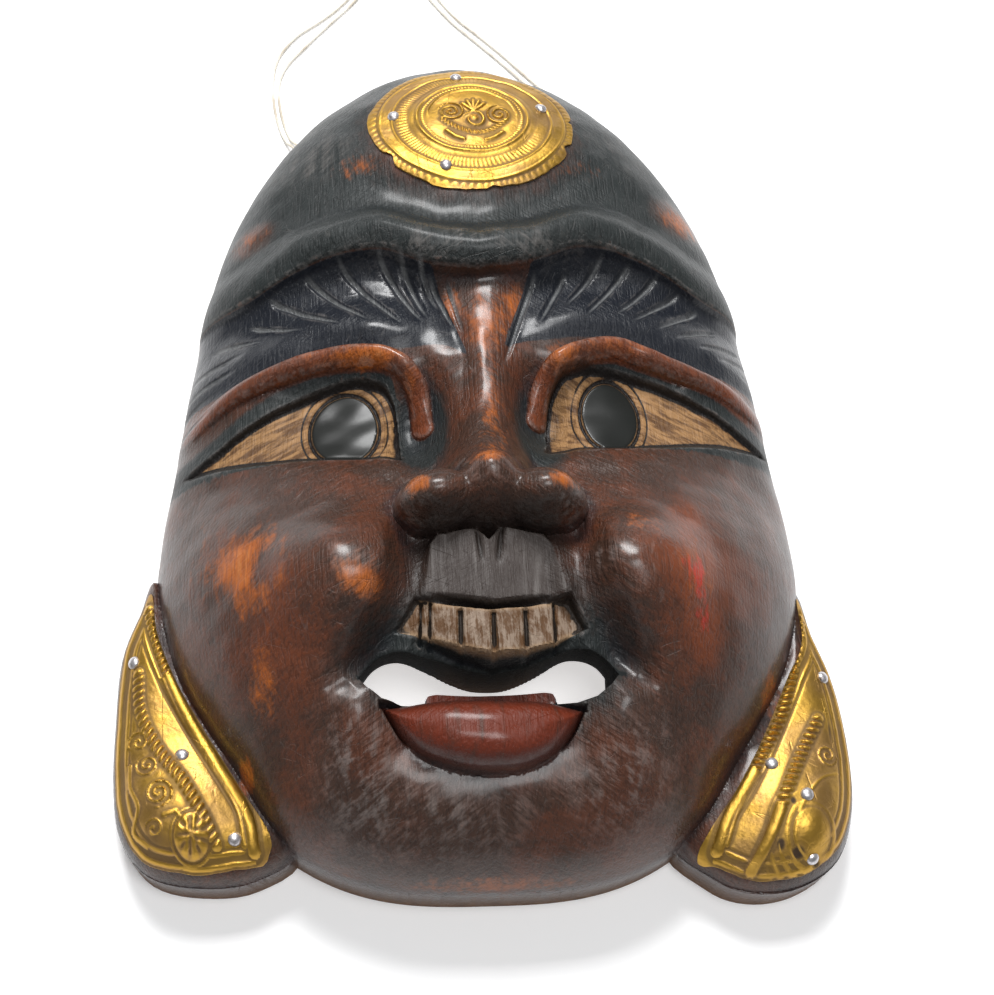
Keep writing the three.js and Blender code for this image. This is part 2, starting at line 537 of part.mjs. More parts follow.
// The x of one column at height y: inner columns close up towards the crown, outer ones follow jaw and edge
function columnX(index, y, side) {
  const sign = signOf[side];
  const block = Math.max(blockHalfWidth(y, side), NARROWEST_BLOCK);
  const squeeze = y > 0 ? Math.min(1, block / WIDTH_AT_MIDDLE) : 1;
  if (index < INNER_COLUMNS.length) return sign * INNER_COLUMNS[index] * squeeze;
  const inner = INNER_COLUMNS[INNER_COLUMNS.length - 1] * squeeze;
  const edge = Math.max(block, earHalfWidth(y, side), y < EAR_ROWS_BELOW ? EAR_REACH : 0);
  const jawLine = (y > 0 ? block : curveAt(HALF_WIDTH, y)) * (1 - JAW_INSET * smoothStep(-75, -45, y));
  const jaw = Math.max(Math.min(jawLine, edge), inner + 3);
  const outer = index - INNER_COLUMNS.length;
  if (outer < JAW_FRACTIONS.length) return sign * (inner + (jaw - inner) * JAW_FRACTIONS[outer]);
  const fraction = EDGE_FRACTIONS[outer - JAW_FRACTIONS.length];
  return sign * (jaw + Math.max(edge - jaw, 2) * fraction);
}

// The grid of the carved front: columns from left to right, each with its rows from the crown to the chin
function carvedGrid() {
  const perSide = INNER_COLUMNS.length + JAW_FRACTIONS.length + EDGE_FRACTIONS.length;
  const columns = [];
  for (let k = perSide - 1; k > 0; k -= 1) columns.push([k, "left"]);
  for (let k = 0; k < perSide; k += 1) columns.push([k, "right"]);
  return columns.map(([index, side]) => {
    const nominal = columnX(index, 0, side);
    return rowsAt(nominal).map((y) => {
      const x = columnX(index, y, side);
      return { x, y, z: Math.max(relief(x, y), 1) };
    });
  });
}

const GRID = carvedGrid();

// The part of the grid that covers an outline, with a wide cell to spare
function gridOver(outline) {
  const xs = outline.map(([x]) => x);
  const ys = outline.map(([, y]) => y);
  const within = (t, all) => t > Math.min(...all) - WIDEST_CELL && t < Math.max(...all) + WIDEST_CELL;
  const near = ({ x, y }) => within(x, xs) && within(y, ys);
  const columnHit = GRID.map((column) => column.some(near));
  const rowHit = GRID[0].map((_, j) => GRID.some((column) => near(column[j])));
  const columns = GRID.slice(columnHit.indexOf(true), columnHit.lastIndexOf(true) + 1);
  return columns.map((column) => column.slice(rowHit.indexOf(true), rowHit.lastIndexOf(true) + 1));
}

// Closed slab over a grid, between two heights that depend on the carved height z
function slab(grid, bottomAt, topAt) {
  const rows = grid[0].length;
  const positions = [];
  for (const heightAt of [topAt, bottomAt]) {
    for (const { x, y, z } of grid.flat()) positions.push(x, y, heightAt(z));
  }
  const layer = grid.length * rows;
  const id = (i, j, k) => k * layer + i * rows + j;
  const faces = [];
  const quad = (a, b, c, d) => faces.push(a, b, c, a, c, d);
  const far = grid.length - 1;
  for (let i = 0; i < far; i += 1) {
    for (let j = 0; j < rows - 1; j += 1) {
      quad(id(i, j, 0), id(i, j + 1, 0), id(i + 1, j + 1, 0), id(i + 1, j, 0));
      quad(id(i, j, 1), id(i + 1, j, 1), id(i + 1, j + 1, 1), id(i, j + 1, 1));
    }
    quad(id(i, 0, 0), id(i + 1, 0, 0), id(i + 1, 0, 1), id(i, 0, 1));
    quad(id(i, rows - 1, 0), id(i, rows - 1, 1), id(i + 1, rows - 1, 1), id(i + 1, rows - 1, 0));
  }
  for (let j = 0; j < rows - 1; j += 1) {
    quad(id(0, j, 0), id(0, j, 1), id(0, j + 1, 1), id(0, j + 1, 0));
    quad(id(far, j, 0), id(far, j + 1, 0), id(far, j + 1, 1), id(far, j, 1));
  }
  const geometry = new THREE.BufferGeometry();
  geometry.setAttribute("position", new THREE.Float32BufferAttribute(positions, 3));
  geometry.setIndex(faces);
  return solidFrom(geometry);
}

// Outline of the face block: its radius from the origin in each direction
function blockRadius(angle) {
  return farthest(40, 200, (radius) => reach(radius * Math.cos(angle), radius * Math.sin(angle)) < 1);
}

function blockOutline(steps, inset) {
  return Array.from({ length: steps }, (_, i) => {
    const angle = (i / steps) * 2 * Math.PI;
    const radius = blockRadius(angle) - inset;
    return [radius * Math.cos(angle), radius * Math.sin(angle)];
  });
}

function hollowHeight(x, y, fraction) {
  const bowl = HOLLOW_DEPTH * Math.sqrt(Math.max(1 - fraction ** HOLLOW_FULLNESS, 0));
  const pockets = HOLLOW_POCKETS.reduce((sum, pocket) => sum + swell(x, y, pocket), 0);
  return bowl + pockets * smoothStep(1, 0.8, fraction);
}

// The scooped-out back, as a solid of rings and sectors with a flat foot below the rim
function hollow() {
  const rings = HOLLOW_RINGS;
  const sectors = HOLLOW_SECTORS;
  const foot = -5;
  const edge = blockOutline(sectors, RIM_WIDTH);
  const positions = [0, 0, hollowHeight(0, 0, 0), 0, 0, foot];
  for (let r = 1; r <= rings; r += 1) {
    const fraction = Math.sin((r / rings) * (Math.PI / 2));
    for (const [ex, ey] of edge) {
      const [x, y] = [ex * fraction, ey * fraction];
      positions.push(x, y, hollowHeight(x, y, fraction));
    }
  }
  for (const [ex, ey] of edge) positions.push(ex, ey, foot);
  const id = (r, s) => 2 + (r - 1) * sectors + (s % sectors);
  const faces = [];
  for (let s = 0; s < sectors; s += 1) {
    faces.push(0, id(1, s), id(1, s + 1));
    for (let r = 1; r < rings + 1; r += 1) {
      faces.push(id(r, s), id(r + 1, s), id(r + 1, s + 1), id(r, s), id(r + 1, s + 1), id(r, s + 1));
    }
    faces.push(1, id(rings + 1, s + 1), id(rings + 1, s));
  }
  const geometry = new THREE.BufferGeometry();
  geometry.setAttribute("position", new THREE.Float32BufferAttribute(positions, 3));
  geometry.setIndex(faces);
  return solidFrom(geometry);
}

// Round bar along a smooth path through 3-D points
function bar(points, radius, sides, steps) {
  const path = new THREE.CatmullRomCurve3(points.map((p) => new THREE.Vector3(...p)));
  const shape = new THREE.Shape();
  for (let i = 0; i < sides; i += 1) {
    const angle = (i / sides) * 2 * Math.PI;
    if (i === 0) shape.moveTo(radius, 0);
    else shape.lineTo(radius * Math.cos(angle), radius * Math.sin(angle));
  }
  return new THREE.ExtrudeGeometry(shape, { steps, extrudePath: path, bevelEnabled: false });
}

// Three-sided strip along 3-D points: its spine runs through them, its feet lie at footHeight beside them.
// A spine over the feet makes a raised ridge, one below them a V-shaped cutter.
function ridge(points, halfWidth, footHeight) {
  const at = points.map((p) => new THREE.Vector3(...p));
  const last = at.length - 1;
  const positions = [];
  at.forEach((p, i) => {
    const before = at[Math.max(i - 1, 0)];
    const after = at[Math.min(i + 1, last)];
    const across = new THREE.Vector3(before.y - after.y, after.x - before.x, 0).setLength(halfWidth);
    const left = p.clone().add(across);
    const right = p.clone().sub(across);
    positions.push(...p, left.x, left.y, footHeight(left, p), right.x, right.y, footHeight(right, p));
  });
  const faces = [];
  const raised = positions[5] < at[0].z;
  const face = (a, b, c) => (raised ? faces.push(a, b, c) : faces.push(a, c, b));
  for (let i = 0; i < last; i += 1) {
    for (const [u, v] of [[0, 1], [1, 2], [2, 0]]) {
      face(3 * i + u, 3 * i + 3 + u, 3 * i + 3 + v);
      face(3 * i + u, 3 * i + 3 + v, 3 * i + v);
    }
  }
  face(0, 1, 2);
  face(3 * last, 3 * last + 2, 3 * last + 1);
  const geometry = new THREE.BufferGeometry();
  geometry.setAttribute("position", new THREE.Float32BufferAttribute(positions, 3));
  geometry.setIndex(faces);
  return solidFrom(geometry);
}

// V-shaped cutter from one 3-D point to another, three times as high as the cut is deep
function groove(from, to, depth, width) {
  return ridge([from, to], width * 1.5, (foot, spine) => spine.z + 3 * depth);
}

function hairCuts() {
  return [...HAIR_CUTS.left, ...HAIR_CUTS.right].map(([ox, oy, ix, iy]) => {
    const outer = [ox, oy, relief(ox, oy) - HAIR_CUT_DEPTH * 0.6];
    const inner = [ix, iy, relief(ix, iy) - HAIR_CUT_DEPTH];
    return groove(outer, inner, HAIR_CUT_DEPTH, HAIR_CUT_WIDTH);
  });
}

function toothCuts() {
  return TOOTH_GAPS.map((x) => {
    const top = curveAt(TEETH_TOP, x) - 1.5;
    const foot = curveAt(TEETH_FOOT, x) - 1;
    const upper = [x, top, relief(x, top - 1) - TOOTH_GAP_DEPTH];
    const lower = [x, foot, relief(x, foot + 3) - TOOTH_GAP_DEPTH];
    return groove(upper, lower, TOOTH_GAP_DEPTH, TOOTH_GAP_WIDTH);
  });
}

// Turn a lathed or cylindrical geometry from its own axis, +Y, to the given direction
function turnTo(geometry, direction) {
  const turn = new THREE.Quaternion().setFromUnitVectors(new THREE.Vector3(0, 1, 0), direction);
  return geometry.applyQuaternion(turn);
}

// Hole drilled through the side wall for the cord, level with the surface that the mask lies on
function cordHole(side) {
  const [from, to] = CORD_HOLES[side].map(([x, y]) => new THREE.Vector3(x, y, CORD_HOLE_HEIGHT));
  const along = to.clone().sub(from);
  const geometry = new THREE.CylinderGeometry(CORD_HOLE_RADIUS, CORD_HOLE_RADIUS, along.length(), 10);
  turnTo(geometry, along.normalize());
  const middle = from.add(to).multiplyScalar(0.5);
  geometry.translate(middle.x, middle.y, middle.z);
  return solidFrom(geometry);
}

function lid(side) {
  const points = LIDS[side].map(([x, y]) => [x, y, relief(x, y) - 0.4]);
  return solidFrom(bar(points, LID_RADIUS, 6, 10));
}

// Direction straight out of the carved surface, over a few millimetres
function surfaceNormal(x, y) {
  const step = 2;
  const fallX = relief(x - step, y) - relief(x + step, y);
  const fallY = relief(x, y - step) - relief(x, y + step);
  return new THREE.Vector3(fallX, fallY, 2 * step).normalize();
}

// Low dome of the iris, standing in the eye
function iris(side) {
  const { iris: [x, y], irisRadius } = EYES[side];
  const profile = IRIS_PROFILE.map(([fraction, height]) => new THREE.Vector2(fraction * irisRadius, height));
  const geometry = new THREE.LatheGeometry(profile, 12);
  turnTo(geometry, surfaceNormal(x, y));
  geometry.translate(x, y, relief(x, y));
  return solidFrom(geometry);
}

function mouthOutline() {
  const ends = [MOUTH_TOP[0][0], MOUTH_TOP[MOUTH_TOP.length - 1][0]];
  const steps = 16;
  const across = Array.from({ length: steps + 1 }, (_, i) => ends[0] + ((ends[1] - ends[0]) * i) / steps);
  const foot = across.map((x) => [x, curveAt(MOUTH_FOOT, x)]);
  const top = across.slice(1, -1).reverse().map((x) => [x, curveAt(MOUTH_TOP, x)]);
  return [...foot, ...top];
}

function maskBody() {
  const block = slab(GRID, () => BELOW, (z) => z);
  const face = prism(blockOutline(60, 0), 0, ABOVE);
  const outline = SIDES.reduce((sum, side) => sum.add(prism(earOutline[side], 0, ABOVE)), face);
  let solid = block.intersect(outline).subtract(hollow()).subtract(prism(mouthOutline(), BELOW, ABOVE));
  for (const side of SIDES) solid = solid.add(lid(side)).add(iris(side)).subtract(cordHole(side));
  for (const cutter of [...hairCuts(), ...toothCuts()]) solid = solid.subtract(cutter);
  return geometryFrom(solid);
}

// Brass skin of the given outline, lying on the wood at a small gap
function skin(outline) {
  const sheet = slab(gridOver(outline), (z) => z + SKIN_GAP, (z) => z + SKIN_FACE);
  return sheet.intersect(prism(outline, BELOW, ABOVE));
}

function discOutline(scale, steps) {
  const { centre: [x, y], radiusX, radiusY } = DISC;
  return Array.from({ length: steps }, (_, i) => {
    const angle = (i / steps) * 2 * Math.PI;
    return [x + radiusX * scale * Math.cos(angle), y + radiusY * scale * Math.sin(angle)];
  });
}

// Disc with its middle raised as a medallion
function crownDisc() {
  const medallion = discOutline(MEDALLION.scale, 16);
  const inSheet = SKIN_FACE - SKIN_THICKNESS / 2;
  const raised = slab(gridOver(medallion), (z) => z + inSheet, (z) => z + SKIN_FACE + MEDALLION.rise);
  return skin(discOutline(1, 28)).add(raised.intersect(prism(medallion, BELOW, ABOVE)));
}

// Plate of an ear with its two raised ropes
function earPlate(side) {
  const outline = PLATES[side];
  const wood = slab(gridOver(outline), () => BELOW, (z) => z + SKIN_GAP);
  let solid = skin(outline);
  for (const rope of ROPES[side]) {
    const points = rope.map(([x, y]) => [x, y, relief(x, y) + SKIN_FACE + ROPE_RISE]);
    const raised = ridge(points, ROPE_HALF_WIDTH, (foot) => relief(foot.x, foot.y) + SKIN_GAP);
    solid = solid.add(raised.subtract(wood).intersect(prism(outline, BELOW, ABOVE)));
  }
  return solid;
}

// Low domed head, its foot following the brass under it
function nailHead([x, y], skinSolid) {
  const profile = NAIL_PROFILE.map(([fraction, height]) => new THREE.Vector2(fraction * NAIL_RADIUS, height));
  const geometry = new THREE.LatheGeometry(profile, 8);
  turnTo(geometry, surfaceNormal(x, y));
  const foot = SKIN_FACE + SKIN_GAP;
  geometry.translate(x, y, relief(x, y) + foot);
  const reachOut = 2 * NAIL_RADIUS;
  const around = gridOver([[x - reachOut, y - reachOut], [x + reachOut, y + reachOut]]);
  const wood = slab(around, () => BELOW, (z) => z + foot);
  const brass = skinSolid.translate([0, 0, SKIN_GAP]);
  return geometryFrom(solidFrom(geometry).subtract(wood).subtract(brass));
}

function strand(name) {
  return bar(CORD_ROUTES[name], CORD_DIAMETER / 2, CORD_SIDES, CORD_STEPS);
}

// Overhand knot inside the hollow, where both strands end on one side
function knot(side) {
  const ends = ["outer", "inner"].map((name) => {
    const route = CORD_ROUTES[name];
    return side === "left" ? [route[0], route[1]] : [route[route.length - 1], route[route.length - 2]];
  });
  const end = new THREE.Vector3();
  const next = new THREE.Vector3();
  for (const [last, before] of ends) {
    end.add(new THREE.Vector3(...last).multiplyScalar(0.5));
    next.add(new THREE.Vector3(...before).multiplyScalar(0.5));
  }
  const inward = end.clone().sub(next).normalize();
  const place = end.addScaledVector(inward, KNOT_RADIUS + SKIN_GAP);
  return new THREE.SphereGeometry(KNOT_RADIUS, 8, 5).translate(place.x, place.y, place.z);
}

const WOOD = new THREE.MeshStandardMaterial({ color: 0x3a1a12, roughness: 0.45, metalness: 0 });
const BRASS = new THREE.MeshStandardMaterial({ color: 0xb98a2b, roughness: 0.35, metalness: 1 });
const NAIL_STEEL = new THREE.MeshStandardMaterial({ color: 0x9a9aa2, roughness: 0.4, metalness: 1 });
const COTTON = new THREE.MeshStandardMaterial({ color: 0xe6e1d2, roughness: 0.9, metalness: 0 });

function named(name, geometry, material) {
  const mesh = new THREE.Mesh(geometry, material);
  mesh.name = name;
  return mesh;
}

const mask = new THREE.Group();
mask.add(named("mask_body", maskBody(), WOOD));
const skins = {
  crown_disc: crownDisc(),
  ear_plate_left: earPlate("left"),
  ear_plate_right: earPlate("right"),
};
for (const [skinName, solid] of Object.entries(skins)) {
  mask.add(named(skinName, geometryFrom(solid), BRASS));
  for (const [name, place] of Object.entries(NAILS[skinName])) {
    mask.add(named(name, nailHead(place, solid), NAIL_STEEL));
  }
}
for (const name of Object.keys(CORD_ROUTES)) mask.add(named(`cord_strand_${name}`, strand(name), COTTON));
for (const side of SIDES) mask.add(named(`cord_knot_${side}`, knot(side), COTTON));

export default mask;
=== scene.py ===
"""Carved wooden dance mask with brass plates, lying face up on a white surface.

Shapes are worked out in millimetres in the frame's axes (+X to the viewer's right, +Y from the chin to the
crown, +Z out of the face) and turned into metres when a mesh is made.
"""

import logging
import math
from dataclasses import dataclass, field
from enum import Enum
from typing import Callable, Sequence

import bmesh
import bpy
import numpy as np
from mathutils import Matrix, Vector


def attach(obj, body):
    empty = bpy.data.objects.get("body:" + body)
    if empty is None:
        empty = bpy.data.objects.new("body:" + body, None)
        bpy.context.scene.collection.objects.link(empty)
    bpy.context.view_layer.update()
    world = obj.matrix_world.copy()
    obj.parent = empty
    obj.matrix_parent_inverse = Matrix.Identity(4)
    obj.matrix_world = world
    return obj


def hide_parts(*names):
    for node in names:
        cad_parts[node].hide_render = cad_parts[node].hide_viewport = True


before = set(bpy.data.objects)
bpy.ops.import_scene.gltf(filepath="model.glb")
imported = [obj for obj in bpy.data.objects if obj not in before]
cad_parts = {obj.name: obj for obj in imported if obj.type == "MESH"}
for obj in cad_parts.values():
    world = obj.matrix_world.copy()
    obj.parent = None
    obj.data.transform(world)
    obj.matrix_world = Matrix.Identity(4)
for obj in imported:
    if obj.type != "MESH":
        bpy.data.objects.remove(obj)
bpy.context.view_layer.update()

LOG = logging.getLogger("mask")
MM = 0.001
BODY = "root"
Array = np.ndarray
Socket = bpy.types.NodeSocket
Pair = tuple[float, float]
Place = tuple[float, float, float]
Colour = tuple[float, float, float]
Spot = tuple[float, float, float, float, float]

# Depth of points far outside an outline, and height of what lies far under the mask
FAR_OUT = -99.0
FAR_DOWN = -50.0
BLACK: Colour = (0.0, 0.0, 0.0)
WHITE: Colour = (1.0, 1.0, 1.0)


# Curves, swellings and distances that the carving is drawn with

def curve(stations: Sequence[Pair], t: Array) -> Array:
    """Smooth curve through stations, level beyond its ends.

    Args:
        stations: pairs of position and value, in rising order of position.
        t: positions to read the curve at.

    Returns:
        The curve's value at each position.
    """
    at, value = np.asarray(stations, float).T
    slope = np.diff(value) / np.diff(at)
    tangent = np.concatenate([slope[:1], (slope[:-1] + slope[1:]) / 2, slope[-1:]])
    t = np.clip(t, at[0], at[-1])
    i = np.clip(np.searchsorted(at, t, side="right") - 1, 0, len(at) - 2)
    step = at[i + 1] - at[i]
    q = (t - at[i]) / step
    p = 1 - q
    return (value[i] * (1 + 2 * q) * p * p + tangent[i] * step * q * p * p
            + value[i + 1] * q * q * (3 - 2 * q) - tangent[i + 1] * step * q * q * p)


def smooth_step(low: float, high: float, t: Array) -> Array:
    """0 at low, 1 at high, with level ends."""
    q = np.clip((t - low) / (high - low), 0, 1)
    return q * q * (3 - 2 * q)


def bell(t: Array) -> Array:
    """1 at t = 0, falling smoothly to 0 at t = -1 and t = 1."""
    return np.clip(1 - t * t, 0, 1) ** 2


def smooth_max(a: Array, b: Array, blend: float) -> Array:
    """The larger of a and b, with a rounded change from one to the other."""
    h = np.clip(0.5 + 0.5 * (a - b) / blend, 0, 1)
    return b * (1 - h) + a * h + blend * h * (1 - h)


def turned(x: Array, y: Array, centre: Pair, degrees: float) -> tuple[Array, Array]:
    """Offsets from centre along and across a direction turned by some degrees."""
    c, s = math.cos(math.radians(degrees)), math.sin(math.radians(degrees))
    dx, dy = x - centre[0], y - centre[1]
    return dx * c + dy * s, dy * c - dx * s


def swelling(x: Array, y: Array, cx: float, cy: float, rx: float, ry: float,
             degrees: float = 0.0) -> Array:
    """Soft round swelling of height 1 over an ellipse."""
    u, v = turned(x, y, (cx, cy), degrees)
    return np.clip(1 - (u / rx) ** 2 - (v / ry) ** 2, 0, 1) ** 2


def swellings(x: Array, y: Array, spots: Sequence[Spot]) -> Array:
    """Sum of swellings, each given by its centre, its two radii and its height."""
    return sum(height * swelling(x, y, cx, cy, rx, ry) for cx, cy, rx, ry, height in spots)


def cap(x: Array, y: Array, centre: Pair, top: float, radii: Place,
        degrees: float = 0.0) -> Array:
    """Upper half of an ellipsoid whose highest point is at top; far below outside it."""
    u, v = turned(x, y, centre, degrees)
    q = 1 - (u / radii[0]) ** 2 - (v / radii[1]) ** 2
    return top - radii[2] + radii[2] * np.where(q > 0, np.sqrt(np.maximum(q, 0)), np.maximum(q, -3))


def line_distance(x: Array, y: Array, line: Sequence[Pair]) -> tuple[Array, Array, Array]:
    """Nearest point on a polyline.

    Args:
        x, y: points to measure from.
        line: the polyline's points.

    Returns:
        The distance to it, the way along it in millimetres, and the signed distance to its left.
    """
    points = np.asarray(line, float)
    best = np.full(np.shape(x), 1e9)
    along = np.zeros(np.shape(x))
    left = np.zeros(np.shape(x))
    run = 0.0
    for a, b in zip(points[:-1], points[1:]):
        d = b - a
        length = math.hypot(*d)
        q = np.clip(((x - a[0]) * d[0] + (y - a[1]) * d[1]) / length ** 2, 0, 1)
        distance = np.hypot(x - a[0] - q * d[0], y - a[1] - q * d[1])
        nearer = distance < best
        best = np.where(nearer, distance, best)
        along = np.where(nearer, run + q * length, along)
        side = np.sign(d[0] * (y - a[1]) - d[1] * (x - a[0]))
        left = np.where(nearer, side * distance, left)
        run += length
    return best, along, left


def smooth_points(points: Sequence[Sequence[float]], each: int, closed: bool = False) -> Array:
    """Points on a smooth curve through the given ones, some steps for each stretch."""
    p = np.asarray(points, float)
    count = len(p)
    made = []
    for i in range(count if closed else count - 1):
        before = p[(i - 1) % count] if closed or i > 0 else 2 * p[0] - p[1]
        a, b = p[i], p[(i + 1) % count]
        after = p[(i + 2) % count] if closed or i < count - 2 else 2 * p[-1] - p[-2]
        for t in np.arange(each) / each:
            made.append(0.5 * (2 * a + (b - before) * t + (2 * before - 5 * a + 4 * b - after) * t * t
                               + (3 * a - before - 3 * b + after) * t ** 3))
    if not closed:
        made.append(p[-1])
    return np.array(made)


def depth_inside(x: Array, y: Array, outline: Array) -> Array:
    """Depth inside a closed outline, negative outside it."""
    closed = np.vstack([outline, outline[:1]])
    distance = line_distance(x, y, closed)[0]
    within = np.zeros(np.shape(x), bool)
    for a, b in zip(closed[:-1], closed[1:]):
        if a[1] == b[1]:
            continue
        crossing = (b[0] - a[0]) * (y - a[1]) / (b[1] - a[1]) + a[0]
        within ^= ((a[1] > y) != (b[1] > y)) & (x < crossing)
    return np.where(within, distance, -distance)


def depth_between(x: Array, y: Array, top: Sequence[Pair], foot: Sequence[Pair]) -> Array:
    """Depth inside the strip between two curves y(x)."""
    start = max(top[0][0], foot[0][0])
    end = min(top[-1][0], foot[-1][0])
    across = np.minimum(curve(top, x) - y, y - curve(foot, x))
    return np.minimum(across, np.minimum(x - start, end - x))


def blurred(values: Array, cells: float) -> Array:
    """Values smoothed by a bell that is some cells wide."""
    reach = int(3 * cells)
    weights = np.exp(-0.5 * (np.arange(-reach, reach + 1) / cells) ** 2)
    weights /= weights.sum()
    for axis in (0, 1):
        pad = [(reach, reach) if k == axis else (0, 0) for k in (0, 1)]
        padded = np.pad(values, pad, mode="edge")
        size = values.shape[axis]
        parts = (np.take(padded, range(k, k + size), axis) * w for k, w in enumerate(weights))
        values = sum(parts)
    return values


class Side(Enum):
    """The viewer's left or right half of the mask."""

    LEFT = -1
    RIGHT = 1


@dataclass(frozen=True)
class Eye:
    """One almond eye: its corners, the rise of its upper edge, and its iris."""

    inner: Pair
    outer: Pair
    rise: float
    iris: Pair
    iris_size: Pair
    lid: tuple[Pair, ...]


